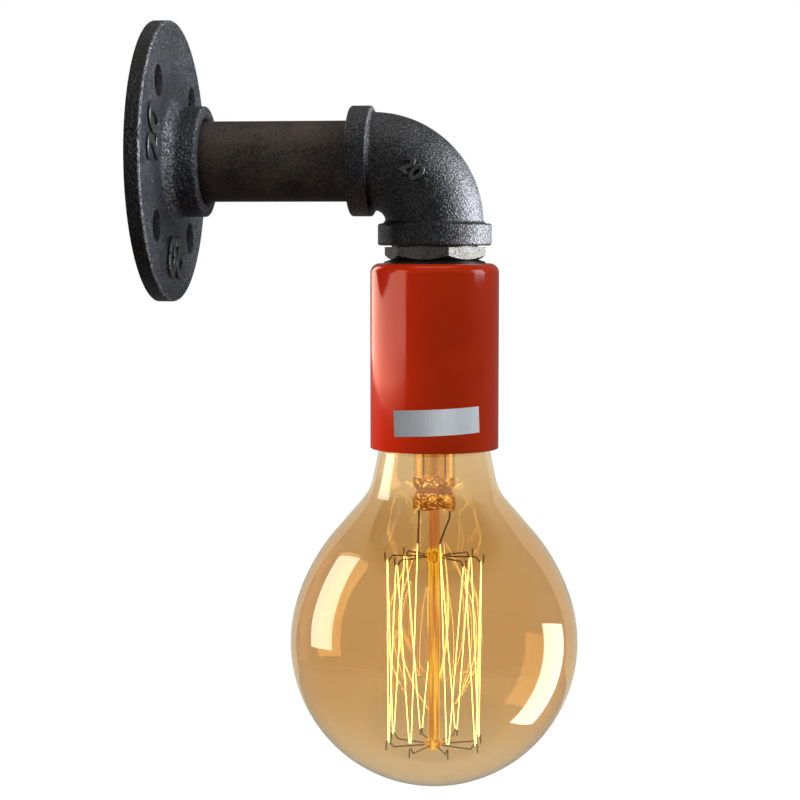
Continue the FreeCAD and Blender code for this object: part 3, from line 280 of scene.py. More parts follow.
# ---------------------------------------------------------------- castings

SPECK_COLOR = (0.4, 0.41, 0.44)
# Painted shade in corners and round raised figures, and how far it reaches
CORNER_SHADE_COLOR = (0.004, 0.004, 0.004)
CORNER_SHADE_DEPTH = 1.6 * MM


def cast_iron(name, dark, pale, metallic, grain=1.0, sparkle=0.5, stretch=(1, 1, 1)):
    """Graphite-painted sand casting: a leathery grain with fine bright specks, and painted shade in
    its corners.

    It gives the shader and its colour. grain scales the relief and sparkle the specks.
    """
    shader = Shader(name, Metallic=metallic)
    broad = shader.noise(110, 4, 0.6)
    leather = shader.noise(1350, 3, 0.6, stretch)
    fine = shader.noise(3300, 3, 0.6)
    color = shader.tint(shader.weigh(broad, leather, 0.25), 0.38, 0.66, dark, pale)
    specks = shader.times(shader.spread(fine, 0.6, 0.7), shader.spread(leather, 0.48, 0.6))
    color = shader.mix(shader.times(specks, sparkle), color, SPECK_COLOR)
    # Painted shade: darker where ambient occlusion finds surfaces close by
    corners = shader.node("AmbientOcclusion", [("Distance", CORNER_SHADE_DEPTH)], samples=8)["AO"]
    color = shader.tint(corners, 0.25, 0.9, CORNER_SHADE_COLOR, color)
    lumps = shader.bump(leather, 1.0, 0.42 * MM * grain)
    shader.wear(
        Base_Color=color,
        Roughness=shader.spread(leather, 0.35, 0.62, 0.42, 0.27),
        Normal=shader.bump(fine, 1.0, 0.13 * MM * grain, lumps),
    )
    return shader, color


# Paler copies of the iron for the raised figures: a painted highlight that makes them read as lit
lit_number_iron, _ = cast_iron(
    "lit_number_iron", (0.14, 0.14, 0.14), (0.23, 0.23, 0.235), metallic=0.9, grain=0.45
)
lit_plate_number_iron, _ = cast_iron(
    "lit_plate_number_iron", (0.07, 0.07, 0.073), (0.15, 0.15, 0.158), metallic=0.9, grain=0.45
)
iron, _ = cast_iron("graphite_iron", (0.05, 0.049, 0.05), (0.135, 0.135, 0.142), metallic=0.9)
flange_iron, flange_color = cast_iron(
    "flange_iron",
    (0.024, 0.027, 0.033),
    (0.13, 0.138, 0.155),
    metallic=0.8,
    grain=2.8,
    sparkle=1.0,
    stretch=(0.85, 0.45, 0.85),
)

# Where the flange's colour changes, from none to all of it, as distances off the pipe's axis
RIM_OFF = (46.1 * MM, 46.7 * MM)
SIDE_OFF = (45.5 * MM, 46.3 * MM)
SHADE_OFF = (35 * MM, 26 * MM)
# and out from the wall
BACK_OUT = (0.1 * MM, 0.6 * MM)
SIDE_OUT = (4.6 * MM, 4.2 * MM)
RIM_OUT = (4.4 * MM, 5.0 * MM)
SHADE_OUT = (8 * MM, 6 * MM)
HUB_FROM, HUB_TO = (8.6 * MM, 10.2 * MM), (15.6 * MM, 14.8 * MM)
ROOT_FROM, ROOT_TO = (5.2 * MM, 6.6 * MM), (10.6 * MM, 8.2 * MM)
# and off a screw hole's axis
HOLE_OFF = (5.5 * MM, 5.2 * MM)

# What it changes to: painted shade, painted glints and wear with a painted highlight
SHADE_COLOR = (0.015, 0.017, 0.021)
SIDE_SHADE_COLOR = (0.022, 0.021, 0.02)
HUB_SHADE_COLOR = (0.012, 0.012, 0.013)
ROOT_GLINT_COLOR = (0.42, 0.43, 0.46)
HOLE_SHADE_COLOR = (0.006, 0.006, 0.007)
WORN_AND_GLINT_COLOR = (0.34, 0.34, 0.36)


def dress_flange(shader, color):
    """Paints shade on the flange near its hub, on its hub, its side and back and in its holes,
    paints glints at the foot of its hub, and wears its rim's edge bright, partly as a painted
    highlight.
    """
    off, out = shader.off_axis("X")
    # Painted shadow on the plate round the hub
    shade = shader.times(shader.spread(off, *SHADE_OFF), shader.spread(out, *SHADE_OUT))
    color = shader.mix(shader.times(shade, 0.6), color, SHADE_COLOR)
    # Painted shade on the flange's side and back
    off_the_back = shader.larger(shader.spread(out, *BACK_OUT), shader.spread(off, *SIDE_OFF))
    side = shader.times(shader.spread(out, *SIDE_OUT), off_the_back)
    color = shader.mix(side, color, SIDE_SHADE_COLOR)
    # Painted shade on the hub's band
    hub = shader.times(shader.spread(out, *HUB_FROM), shader.spread(out, *HUB_TO))
    color = shader.mix(shader.times(hub, 0.65), color, HUB_SHADE_COLOR)
    # Painted glints in specks at the root of the hub
    root = shader.times(shader.spread(out, *ROOT_FROM), shader.spread(out, *ROOT_TO))
    specks = shader.spread(shader.noise(1700, 3, 0.6), 0.49, 0.59, 0.0, 0.62)
    color = shader.mix(shader.times(root, specks), color, ROOT_GLINT_COLOR)
    # Painted shade in the screw holes
    holes = 0.0
    for turn in map(math.radians, SCREW_TURNS):
        centre = (0, SCREW_CIRCLE_RADIUS * math.cos(turn), SCREW_CIRCLE_RADIUS * math.sin(turn))
        off_hole, _ = shader.off_axis("X", centre)
        holes = shader.larger(holes, shader.spread(off_hole, *HOLE_OFF, 0.0, 0.85))
    color = shader.mix(holes, color, HOLE_SHADE_COLOR)
    # Worn bare metal on the rim's edge, partly a painted highlight
    rim = shader.times(shader.spread(off, *RIM_OFF), shader.spread(out, *RIM_OUT))
    scuffs_and_glints = shader.spread(shader.noise(900, 3), 0.42, 0.6, 0.1, 0.8)
    shader.wear(Base_Color=shader.mix(shader.times(rim, scuffs_and_glints), color, WORN_AND_GLINT_COLOR))


dress_flange(flange_iron, flange_color)


# ---------------------------------------------------------------- pipe, bush and small metal parts

pipe_steel = Shader("black_pipe", Metallic=0.25)
mill = pipe_steel.noise(2300, 5, 0.7, stretch=(0.65, 1, 1))
mottle = pipe_steel.weigh(mill, pipe_steel.noise(60, 4, 0.6), 0.65)
pipe_steel.wear(
    Base_Color=pipe_steel.tint(mottle, 0.43, 0.57, (0.01, 0.007, 0.0058), (0.086, 0.061, 0.047)),
    Roughness=pipe_steel.spread(mill, *NOISE_SPAN, 0.5, 0.68),
    Normal=pipe_steel.bump(mill, 0.8, 0.25 * MM),
)

zinc = Shader("zinc_bush", Metallic=1.0)
zinc_grain = zinc.noise(2600, 4, 0.65)
zinc_color = zinc.tint(zinc.noise(160, 4, 0.6), 0.38, 0.62, (0.36, 0.34, 0.3), (0.44, 0.44, 0.43))
zinc.wear(
    Base_Color=zinc.tint(zinc.noise(1500, 3, 0.7), 0.46, 0.36, zinc_color, (0.09, 0.08, 0.07)),
    Roughness=zinc.spread(zinc_grain, *NOISE_SPAN, 0.24, 0.4),
    Normal=zinc.bump(zinc_grain, 0.3, 0.1 * MM),
)

washer_paint = Shader(
    "black_washer", Base_Color=(0.012, 0.012, 0.013), Metallic=0.1, Roughness=0.42
)
washer_paint.wear(Normal=washer_paint.bump(washer_paint.noise(1200, 4), 0.15, 0.1 * MM))

bright_steel = Shader("zinc_steel", Metallic=1.0)
steel_grain = bright_steel.noise(1800, 4, 0.6, stretch=(1, 1, 0.2))
bright_steel.wear(
    Base_Color=bright_steel.mix(steel_grain, (0.5, 0.5, 0.48), (0.72, 0.72, 0.7)),
    Roughness=bright_steel.spread(steel_grain, *NOISE_SPAN, 0.24, 0.4),
)

brass = Shader("brass", Metallic=1.0)
brass_cloud = brass.noise(300, 4, 0.6)
brass.wear(
    Base_Color=brass.tint(brass_cloud, 0.35, 0.65, (0.55, 0.36, 0.13), (0.8, 0.6, 0.28)),
    Roughness=brass.spread(brass_cloud, *NOISE_SPAN, 0.22, 0.4),
)

tin = Shader("tinned_copper", Metallic=1.0, Roughness=0.3)
tin.wear(Base_Color=tin.mix(tin.noise(900, 3), (0.6, 0.58, 0.56), (0.78, 0.77, 0.76)))

cap_metal = Shader("nickel_brass", Metallic=1.0)
cap_cloud = cap_metal.noise(300, 4)
cap_metal.wear(
    Base_Color=cap_metal.mix(cap_cloud, (0.62, 0.5, 0.3), (0.78, 0.7, 0.52)),
    Roughness=cap_metal.spread(cap_cloud, *NOISE_SPAN, 0.2, 0.34),
)

solder = Shader("solder", Metallic=1.0, Roughness=0.35)
solder.wear(
    Base_Color=solder.mix(solder.noise(700, 4), (0.42, 0.42, 0.44), (0.66, 0.66, 0.68)),
    Normal=solder.bump(solder.noise(500, 3), 0.3, 0.3 * MM),
)

nickel = Shader("nickel_wire", Metallic=0.9, Roughness=0.35)
nickel.wear(Base_Color=nickel.mix(nickel.noise(2500, 3), (0.1, 0.07, 0.045), (0.26, 0.2, 0.14)))


# ---------------------------------------------------------------- enamel, label and insulators

enamel = Shader("orange_enamel", Specular_IOR_Level=0.34)
flow = enamel.noise(45, 3, 0.5)
enamel.wear(
    Base_Color=enamel.tint(flow, *NOISE_SPAN, (0.48, 0.027, 0.0033), (0.54, 0.033, 0.0043)),
    Normal=enamel.bump(enamel.noise(150, 2, 0.4), 0.05, 0.4 * MM),
    Roughness=enamel.spread(enamel.noise(120, 3), *NOISE_SPAN, 0.09, 0.14),
)

foil = Shader("label_foil", Metallic=0.3)
foil_grain = foil.noise(1400, 4, 0.6, stretch=(1, 1, 0.15))
foil.wear(
    Base_Color=foil.mix(foil_grain, (0.62, 0.66, 0.69), (0.8, 0.84, 0.88)),
    Normal=foil.bump(foil_grain, 0.08, 0.1 * MM),
)

porcelain = Shader("porcelain", Roughness=0.18, Coat_Weight=0.4)
glaze = porcelain.noise(200, 4)
porcelain.wear(Base_Color=porcelain.tint(glaze, 0.4, 0.7, (0.82, 0.81, 0.77), (0.74, 0.72, 0.66)))

vitrite = Shader("black_insulator", Base_Color=(0.008, 0.008, 0.01), Roughness=0.1)
vitrite.wear(Normal=vitrite.bump(vitrite.noise(400, 3), 0.15, 0.3 * MM))

cement = Shader("cap_cement", Roughness=0.9)
cement.wear(
    Base_Color=cement.mix(cement.noise(1200, 5), (0.42, 0.36, 0.26), (0.66, 0.6, 0.48)),
    Normal=cement.bump(cement.noise(2000, 4), 0.5, 0.2 * MM),
)


def sleeve(name, color):
    """A lead's plastic, with slightly paler clouds."""
    shader = Shader(name, Roughness=0.45)
    pale = tuple(min(1.0, part * 1.25 + 0.01) for part in color)
    shader.wear(
        Normal=shader.bump(shader.noise(1500, 3), 0.1, 0.1 * MM),
        Base_Color=shader.tint(shader.noise(500, 3), 0.4, 0.7, color, pale),
    )
    return shader


paint(flange_iron, "wall_flange")
paint(pipe_steel, "pipe_nipple")
paint(iron, "elbow")
paint(zinc, "reducer_bush")
paint(washer_paint, "top_washer")
paint(bright_steel, "threaded_tube", "star_washer", "tube_locknut", "holder_bridge")
paint(bright_steel, "bridge_screws", "terminal_screws")
paint(brass, "earth_ring", "screw_shell", "shell_terminal", "contact_terminal", "earth_terminal")
paint(brass, "contact_rivets", "centre_contact")
paint(porcelain, "porcelain_body")
paint(sleeve("sleeve_brown", (0.12, 0.045, 0.02)), "live_lead")
paint(sleeve("sleeve_blue", (0.015, 0.09, 0.38)), "neutral_lead")
paint(sleeve("sleeve_green", (0.04, 0.25, 0.05)), "earth_lead")
paint(tin, "lead_ferrules")
paint(cap_metal, "bulb_cap")
paint(vitrite, "cap_insulator")
paint(solder, "cap_contact")
paint(cement, "cap_cement")
paint(nickel, "upper_hooks", "lower_hooks", "lead_in_wires", "cap_leads")


# ---------------------------------------------------------------- cup and label


def cup_profile():
    """The cup's section about its top, in mm: out and down, and back up inside."""
    radius, height = CUP_RADIUS / MM, CUP_HEIGHT / MM
    tube_hole, wall, corner, edge = 5.05, 0.9, 3.2, 0.35
    inner = radius - wall
    rows = 12
    last_row = -corner - (height - corner) * (rows - 1) / rows
    steps = [
        ((radius - corner, 0), 1),
        ((radius, -corner), 14, corner, -1),
        ((radius, last_row), rows - 1),
        ((radius, -height + edge), 1),
        ((radius - edge, -height), 4, edge, -1),
        ((inner + edge, -height), 1),
        ((inner, -height + edge), 4, edge, -1),
        ((inner, -corner), 1),
        ((radius - corner, -wall), 10, corner - wall, 1),
        ((tube_hole, -wall), 1),
        ((tube_hole, 0), 1),
    ]
    return trace((tube_hole, 0), steps)


cup_top = Vector((LAMP_X, 0, CUP_HIGH[2]))
cup = add_piece(
    "cup_shell", lathe("cup_shell", cup_profile(), cup_top), "arm", enamel
)
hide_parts("lampholder_cup")

LABEL_WIDTH = 30.2 * MM
LABEL_HEIGHT = 8.6 * MM
LABEL_THICKNESS = 0.09 * MM
LABEL_GAP = 0.01 * MM
LABEL_TILT = math.radians(2.6)
LABEL_TOWARD = math.radians(-81.2)


def label_mesh():
    """A thin foil bent round the cup, with its right side higher by the tilt."""
    made = bmesh.new()
    columns, rows = 48, 10
    low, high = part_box("foil_label")
    middle = Vector((0.0, (low[2] + high[2]) / 2))

    def corner(row, column, lift):
        flat = Vector((LABEL_WIDTH * (column / columns - 0.5), LABEL_HEIGHT * (row / rows - 0.5)))
        flat = Matrix.Rotation(LABEL_TILT, 2) @ flat + middle
        angle = LABEL_TOWARD + flat.x / CUP_RADIUS
        reach = CUP_RADIUS + lift
        spot = (LAMP_X + reach * math.cos(angle), reach * math.sin(angle), flat.y)
        return made.verts.new(spot)

    back, front = (
        [[corner(row, column, lift) for column in range(columns + 1)] for row in range(rows + 1)]
        for lift in (LABEL_GAP, LABEL_THICKNESS)
    )
    for row in range(rows):
        for column in range(columns):
            for grid in (front, back):
                lower, upper = grid[row], grid[row + 1]
                after = column + 1
                made.faces.new((lower[column], lower[after], upper[after], upper[column]))
    border = [(0, column) for column in range(columns)]
    border += [(row, columns) for row in range(rows)]
    border += [(rows, column) for column in range(columns, 0, -1)]
    border += [(row, 0) for row in range(rows, 0, -1)]
    for (r1, c1), (r2, c2) in zip(border, border[1:] + border[:1]):
        made.faces.new((back[r1][c1], back[r2][c2], front[r2][c2], front[r1][c1]))
    bmesh.ops.recalc_face_normals(made, faces=made.faces)
    return to_mesh(made, "blank_label", smooth=False)


label = add_piece("blank_label", label_mesh(), "arm", foil)
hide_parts("foil_label")


# ---------------------------------------------------------------- the bulb's glass

# Heights between which the amber coat thins, about the globe's middle
COAT_THINS_UP = (34 * MM, 62 * MM)
COAT_THINS_DOWN = (-8 * MM, -42 * MM)

# The high refractive index stands for the strong mirror of that coat
amber = Shader("amber_glass", Roughness=0.0, Transmission_Weight=1.0, IOR=2.2)
_, glass_height = amber.off_axis("Z", (0, 0, BULB_Z))
thin_coat = amber.larger(
    amber.spread(glass_height, *COAT_THINS_UP), amber.spread(glass_height, *COAT_THINS_DOWN)
)
amber.wear(Base_Color=amber.mix(thin_coat, (0.775, 0.552, 0.288), (0.885, 0.725, 0.48)))

stem_glass = Shader(
    "stem_glass", Base_Color=(0.97, 0.78, 0.36), Roughness=0.02, Transmission_Weight=1.0, IOR=2.0
)


def globe_profile(inset=0.0):
    """The globe's section about its middle, in mm: from its bottom to its sealed top.

    inset moves it in from the outside.
    """
    radius = BULB_RADIUS / MM - inset
    shoulder_height = 14
    shoulder = (math.sqrt(radius**2 - shoulder_height**2), shoulder_height)
    seal = 11.3 - inset
    steps = [
        (shoulder, 44, radius, 1),
        ((32.9 - inset, 38), 16, 66 - inset, 1),  # a flatter bend
        ((24.1 - inset, 48.2), 4),  # the slope
        ((20.6 - inset, 55.3), 10, 16, -1),  # the bend into the neck
        ((18.45 - inset, 65.5), 3),  # the neck
        ((11.9 - inset, 73.3), 8, 16, 1),  # in under the cap
        ((seal, 74.6), 1),
        ((seal, 86), 1),
    ]
    return trace((0, -radius), steps)


GLASS_THICKNESS_MM = 0.8
globe_outline = globe_profile() + globe_profile(GLASS_THICKNESS_MM)[::-1]
globe_middle = Vector((LAMP_X, 0, BULB_Z))
globe_mesh = lathe("globe_glass", globe_outline, globe_middle, segments=192)
glass = add_piece("globe_glass", globe_mesh, "bulb", amber)
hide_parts("bulb_glass")


# ---------------------------------------------------------------- the stem's pinched end and rod


def molten_glass():
    """Folded glass with a painted gold glow, painted glints along the tops of its folds, darker
    seams, and painted shade at its waist and at its edges.
    """
    shader = Shader(
        "pinch_glass",
        Base_Color=(0.1, 0.04, 0.006),
        Roughness=0.03,
        Transmission_Weight=0.12,
        IOR=1.5,
    )
    swirl = shader.noise(230, 2, 0.5, stretch=(1, 1, 1.5), distort=1.5)
    fold = shader.noise(300, 2, 0.5, stretch=(1, 1, 1.4), distort=1.8)
    off, height = shader.off_axis("Z", (LAMP_X, 0, PINCH_LOW[2]))
    waist_height = 0.64 * (PINCH_HIGH[2] - PINCH_LOW[2])
    half_width = (PINCH_HIGH[0] - PINCH_LOW[0]) / 2
    # Painted shade at the waist and at the edges, darker seams, and painted glints along the tops
    # of the folds
    waist = shader.spread(shader.distance(height, waist_height), 1.6 * MM, 0.4 * MM)
    side_shade = shader.spread(off, 0.82 * half_width, half_width, 0.0, 0.6)
    seams = shader.spread(shader.distance(swirl, 0.5), 0.085, 0.02, 0.0, 0.95)
    dark = shader.larger(shader.larger(shader.times(waist, 0.7), side_shade), seams)
    glint_crests = shader.spread(shader.distance(fold, 0.56), 0.04, 0.008)
    glint_crests = shader.times(glint_crests, shader.math("SUBTRACT", 1.0, dark))
    gold = shader.tint(swirl, 0.35, 0.65, (0.62, 0.22, 0.012), (0.95, 0.46, 0.06))
    gold = shader.mix(glint_crests, gold, (1.0, 0.78, 0.28))
    # The gold glow is painted: emission stands in for the filament's light in the glass
    shader.wear(
        Emission_Color=shader.mix(dark, gold, (0.2, 0.045, 0.0)),
        Emission_Strength=shader.spread(glint_crests, 0.0, 1.0, 1.1, 2.1),
        Normal=shader.bump(swirl, 1.0, 3 * MM, shader.bump(fold, 0.6, 1 * MM)),
    )
    return shader


def lit_rod():
    """The rod's glass, with a painted glow in streaks inside the cage, where the filament lights
    it, and a weaker painted glow above it, where it is dull.
    """
    shader = Shader("rod_glass", Roughness=0.1, Transmission_Weight=0.25, IOR=1.5)
    _, height = shader.off_axis("Z")
    dull_from, lit_from = BULB_Z + 32.5 * MM, BULB_Z + 30.5 * MM
    lit = shader.spread(height, dull_from, lit_from)
    streaks = shader.spread(shader.noise(1100, 3, stretch=(1, 1, 0.03)), 0.36, 0.62)
    streak_color = shader.mix(streaks, (0.95, 0.34, 0.001), (1.0, 0.8, 0.07))
    streak_light = shader.spread(streaks, 0.0, 1.0, 0.5, 1.15)
    # Painted glow: emission stands in for the filament's light on the rod
    shader.wear(
        Base_Color=shader.mix(lit, (0.95, 0.42, 0.15), (0.3, 0.12, 0.005)),
        Emission_Color=shader.mix(lit, (1.0, 0.6, 0.26), streak_color),
        Emission_Strength=shader.times(shader.spread(lit, 0.0, 1.0, 0.3, 1.0), streak_light),
    )
    return shader


def pinch_mesh():
    """The stem's end, pressed flat while soft: a ribbed block with a wavy lower edge."""
    half_width = (PINCH_HIGH[0] - PINCH_LOW[0]) / 2
    half_depth = (PINCH_HIGH[1] - PINCH_LOW[1]) / 2
    height = PINCH_HIGH[2] - PINCH_LOW[2]
    middle = Vector(((PINCH_LOW[0] + PINCH_HIGH[0]) / 2, 0, 0))
    rows, columns = 44, 96
    squareness = 0.62
    waist_place, waist_width, waist_depth = 0.62, 0.09, 0.16
    rounding, rounding_power, rounded_fill = 3.2, 0.7, 0.96
    gather, gather_power = 1.2, 3
    ribs = ((0.05, 9, 7), (0.04, 3, 17))  # height, waves round, waves up
    rib_share_x, fill_y = 0.05, 0.93
    wavy_share, waves = 0.1, 5

    def squared(part):
        return math.copysign(abs(part) ** squareness, part)

    def held(value, limit):
        return max(-limit, min(limit, value))

    made = bmesh.new()
    rings = []
    for row in range(rows + 1):
        share = row / rows
        waist = 1 - waist_depth * math.exp(-(((share - waist_place) / waist_width) ** 2))
        flat = min(1.0, (1 - share) * rounding) ** rounding_power
        gathered = min(1.0, share * gather) ** gather_power
        ring = []
        for column in range(columns):
            turned = 2 * math.pi * column / columns
            across, along = math.cos(turned), math.sin(turned)
            round_y = along * half_width * rounded_fill
            flat_y = squared(along) * half_depth
            ripple = 1.0
            for size, waves_round, waves_up in ribs:
                ripple += size * math.sin(waves_round * turned + waves_up * share)
            x = squared(across) * half_width * waist
            x = held(x * (1 - rib_share_x + rib_share_x * ripple), half_width)
            y = gathered * (round_y - flat_y) * (1 - flat) + flat_y
            y = held(y * ripple * fill_y, half_depth)
            z = PINCH_LOW[2] + height * share
            if share < wavy_share:
                wave = 0.5 + 0.5 * math.sin(waves * turned + 1.0)
                z += (wavy_share - share) * height * wave
            ring.append(made.verts.new(Vector((x, y, z)) + middle))
        rings.append(ring)
    join_rings(made, rings)
    for ring in (rings[0], rings[-1]):
        hub = made.verts.new(sum((spot.co for spot in ring), Vector()) / columns)
        for column in range(columns):
            made.faces.new((ring[column], ring[(column + 1) % columns], hub))
    bmesh.ops.recalc_face_normals(made, faces=made.faces)
    return to_mesh(made, "molten_pinch")


pinch = add_piece("molten_pinch", pinch_mesh(), "bulb", molten_glass())
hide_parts("stem_pinch")
paint(stem_glass, "bulb_stem", "exhaust_tube")
paint(lit_rod(), "centre_rod")

# The filament glows but doesn't light the matt pieces round it, against noise in the picture
filament_glow = Shader(
    "carbon_filament",
    Base_Color=(0.3, 0.15, 0.05),
    Emission_Color=(1.0, 0.78, 0.27),
    Emission_Strength=14.0,
)
paint(filament_glow, "filament")
nodes["filament"].visible_diffuse = False


# ---------------------------------------------------------------- raised numbers on the castings

# In the font's own units: the height of a figure, how much its strokes are thickened, the
# distance under which corners are one, and the distance between cuts that let it bend
FIGURE_HEIGHT = 0.7
FIGURE_BOLD = 0.016
FIGURE_MERGE = 1e-5
FIGURE_CUTS = 0.06
# How far a number's foot lies in the casting, and the share of its lift that is rounded off
NUMBER_SUNK = 0.3 * MM
NUMBER_ROUND = 0.4


def raised_number(name, text, height, lift, place):
    """Rounded figures of a plain number, laid on a casting by place(along, across, above)."""
    unit = height / FIGURE_HEIGHT
    curve = bpy.data.curves.new(name, "FONT")
    curve.body = text
    curve.bevel_depth = NUMBER_ROUND * lift / unit
    curve.bevel_resolution = 2
    curve.extrude = (lift + NUMBER_SUNK) / unit / 2 - curve.bevel_depth
    curve.offset = FIGURE_BOLD
    figures = bpy.data.objects.new(name, curve)
    made = bmesh.new()
    flat = bpy.data.meshes.new_from_object(figures)
    made.from_mesh(flat)
    bpy.data.objects.remove(figures)
    bpy.data.curves.remove(curve)
    bpy.data.meshes.remove(flat)
    bmesh.ops.remove_doubles(made, verts=made.verts, dist=FIGURE_MERGE)
    low = Vector([min(spot.co[axis] for spot in made.verts) for axis in range(3)])
    high = Vector([max(spot.co[axis] for spot in made.verts) for axis in range(3)])
    for axis in (0, 1):
        normal = Vector((axis == 0, axis == 1, 0))
        count = int((high[axis] - low[axis]) / FIGURE_CUTS)
        for step in range(1, count):
            everything = made.verts[:] + made.edges[:] + made.faces[:]
            cut = Vector((0, 0, 0))
            cut[axis] = low[axis] + (high[axis] - low[axis]) * step / count
            bmesh.ops.bisect_plane(made, geom=everything, plane_co=cut, plane_no=normal)
    scale = height / (high.y - low.y)
    middle = (low + high) / 2
    raised = Vector((0, 0, (lift - NUMBER_SUNK) / 2))
    for spot in made.verts:
        spot.co = place(*((spot.co - middle) * scale + raised))
    bmesh.ops.triangulate(made, faces=made.faces)
    return to_mesh(made, name)


# The middle line of the elbow's bend, the radius out to the number, and the number's place:
# its turn along the bend and its lean out from the side that faces -Y
BEND_RADIUS = 20.7 * MM
NUMBER_BEND_RADIUS = 23.2 * MM
NUMBER_TURN = math.radians(49.4)
NUMBER_LEAN = math.radians(8.9)


def on_elbow(along, across, above):
    """A place on the elbow's bend, by the distance along it and out from its middle line."""
    tube_radius = ELBOW_RADIUS + above
    turn = NUMBER_TURN - along / NUMBER_BEND_RADIUS
    lean = NUMBER_LEAN + across / ELBOW_RADIUS
    reach = BEND_RADIUS + tube_radius * math.sin(lean)
    bend_x, bend_z = LAMP_X - BEND_RADIUS, -BEND_RADIUS
    x = bend_x + reach * math.cos(turn)
    z = bend_z + reach * math.sin(turn)
    return Vector((x, -tube_radius * math.cos(lean), z))


def on_flange(middle):
    """Places on the flange's face, round a ring from an angle in degrees."""
    ring = 32.5 * MM
    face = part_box("wall_flange")[0][0] + FLANGE_THICKNESS

    def place(along, across, above):
        turn = math.radians(middle) - along / ring
        reach = ring + across
        return Vector((face + above, reach * math.cos(turn), reach * math.sin(turn)))

    return place


mesh = raised_number("elbow_number", "20", height=6 * MM, lift=0.9 * MM, place=on_elbow)
numbers = [add_piece("elbow_number", mesh, "arm", lit_number_iron)]
for name, degrees in (("flange_number", 165), ("flange_number_low", 266)):
    mesh = raised_number(name, "20", height=14 * MM, lift=1 * MM, place=on_flange(degrees))
    numbers.append(add_piece(name, mesh, "wall_bracket", lit_plate_number_iron))


# ---------------------------------------------------------------- floor and world

WHITE = (1.0, 1.0, 1.0)
FLOOR_RADIUS = 2.0
FLOOR_PLACE = (0.06, 0.0, -0.62)
# The Y part of a mirrored ray, from the dim front of the room to its brighter back, and how
# bright the floor and the room are there
FRONT_TO_BACK = (-0.15, 0.5)
MIRRORED_FLOOR = (0.03, 0.13)
MIRRORED_ROOM = (0.06, 0.17)
# The Z part of a ray, from the room to its dimmer ceiling
ROOM_TO_CEILING = (0.62, 0.82)
CEILING_LIGHT = 0.15
# The Z part of a ray from a matt surface, and the soft sky's light there
SKY_UP = (-0.5, 0.7)
SKY_LIGHT = (0.02, 0.24)
# Distances between which the floor brightens to white, and its light in the middle
FLOOR_FADE = (0.5, 1.2)
FLOOR_LIGHT = 0.86


def floor():
    """A pale disc that is white to the camera, and dimmer in mirrors."""
    made = bmesh.new()
    bmesh.ops.create_circle(made, cap_ends=True, segments=96, radius=FLOOR_RADIUS)
    piece = bpy.data.objects.new("floor", to_mesh(made, "floor", smooth=False))
    piece.location = FLOOR_PLACE
    scene.collection.objects.link(piece)
    surface = Shader("floor_white", Base_Color=(0.2, 0.2, 0.2), Roughness=0.9)
    rays = surface.node("LightPath")
    seen = surface.larger(rays["Is Camera Ray"], rays["Is Transmission Ray"])
    away, _ = surface.off_axis("Z")
    behind = surface.math("DIVIDE", surface.split(surface.where())["Y"], away)
    backdrop = surface.spread(behind, *FRONT_TO_BACK, *MIRRORED_FLOOR)
    seen = surface.larger(seen, surface.times(rays["Is Glossy Ray"], backdrop))
    pale = surface.spread(away, *FLOOR_FADE, FLOOR_LIGHT, 1.0)
    surface.wear(Emission_Color=WHITE, Emission_Strength=surface.times(seen, pale))
    piece.data.materials.append(surface.material)


def studio_world():
    """A room that is white to the camera, dim in mirrors and a soft sky to matt surfaces."""
    world = bpy.data.worlds.new("studio")
    scene.world = world
    world.use_nodes = True
    sky = Nodes(world.node_tree)
    rays = sky.node("LightPath")
    toward = sky.split(sky.node("TexCoord")["Generated"])
    backdrop = sky.spread(toward["Y"], *FRONT_TO_BACK, *MIRRORED_ROOM)
    below_ceiling = sky.spread(toward["Z"], *ROOM_TO_CEILING, 1.0, CEILING_LIGHT)
    through = sky.times(rays["Is Transmission Ray"], below_ceiling)
    mirrored = sky.times(rays["Is Glossy Ray"], sky.times(backdrop, below_ceiling))
    seen = sky.larger(rays["Is Camera Ray"], sky.larger(through, mirrored))
    soft_sky = sky.spread(toward["Z"], *SKY_UP, *SKY_LIGHT)
    soft_sky = sky.times(rays["Is Diffuse Ray"], soft_sky)
    background = world.node_tree.nodes["Background"]
    sky.fill(background.inputs, [("Color", WHITE), ("Strength", sky.larger(seen, soft_sky))])


floor()
studio_world()


# ---------------------------------------------------------------- lamps


def group(name, pieces):
    """A collection that only says which pieces a lamp reaches."""
    collection = bpy.data.collections.new(name)
    for piece in pieces:
        collection.objects.link(piece)
    return collection


def only_mirrored(tree):
    """Lets a lamp show where the glass mirrors it, and not straight behind the glass."""
    lamp = Nodes(tree)
    depths = lamp.node("LightPath")
    ray, through = depths["Ray Depth"], depths["Transmission Depth"]
    mirrors = lamp.math("SUBTRACT", ray, through, use_clamp=True)
    lamp.fill(tree.nodes["Emission"].inputs, [("Strength", mirrors)])


def softbox(
    name,
    place,
    target,
    size,
    radiance,
    color=WHITE,
    roll=0.0,
    gloss=True,
    reaches=None,
    inner=False,
):
    """A rectangular lamp of a given brightness, turned about its own axis by roll in degrees.

    gloss says if it shows in mirrors, reaches which pieces it lights (all without it), and
    inner if the glass mirrors it on its inner side too.
    """
    data = bpy.data.lights.new(name, "AREA")
    data.shape = "RECTANGLE"
    data.size, data.size_y = size
    data.energy = radiance * math.pi * size[0] * size[1]
    data.color = color
    lamp = bpy.data.objects.new(name, data)
    lamp.location = place
    aim = (Vector(target) - Vector(place)).to_track_quat("-Z", "Y").to_matrix().to_4x4()
    lamp.rotation_euler = (aim @ Matrix.Rotation(math.radians(roll), 4, "Z")).to_euler()
    lamp.visible_camera = False
    lamp.visible_glossy = gloss
    lamp.visible_transmission = inner
    if inner:
        data.use_nodes = True
        only_mirrored(data.node_tree)
    if reaches is not None:
        lamp.light_linking.receiver_collection = reaches
    scene.collection.objects.link(lamp)


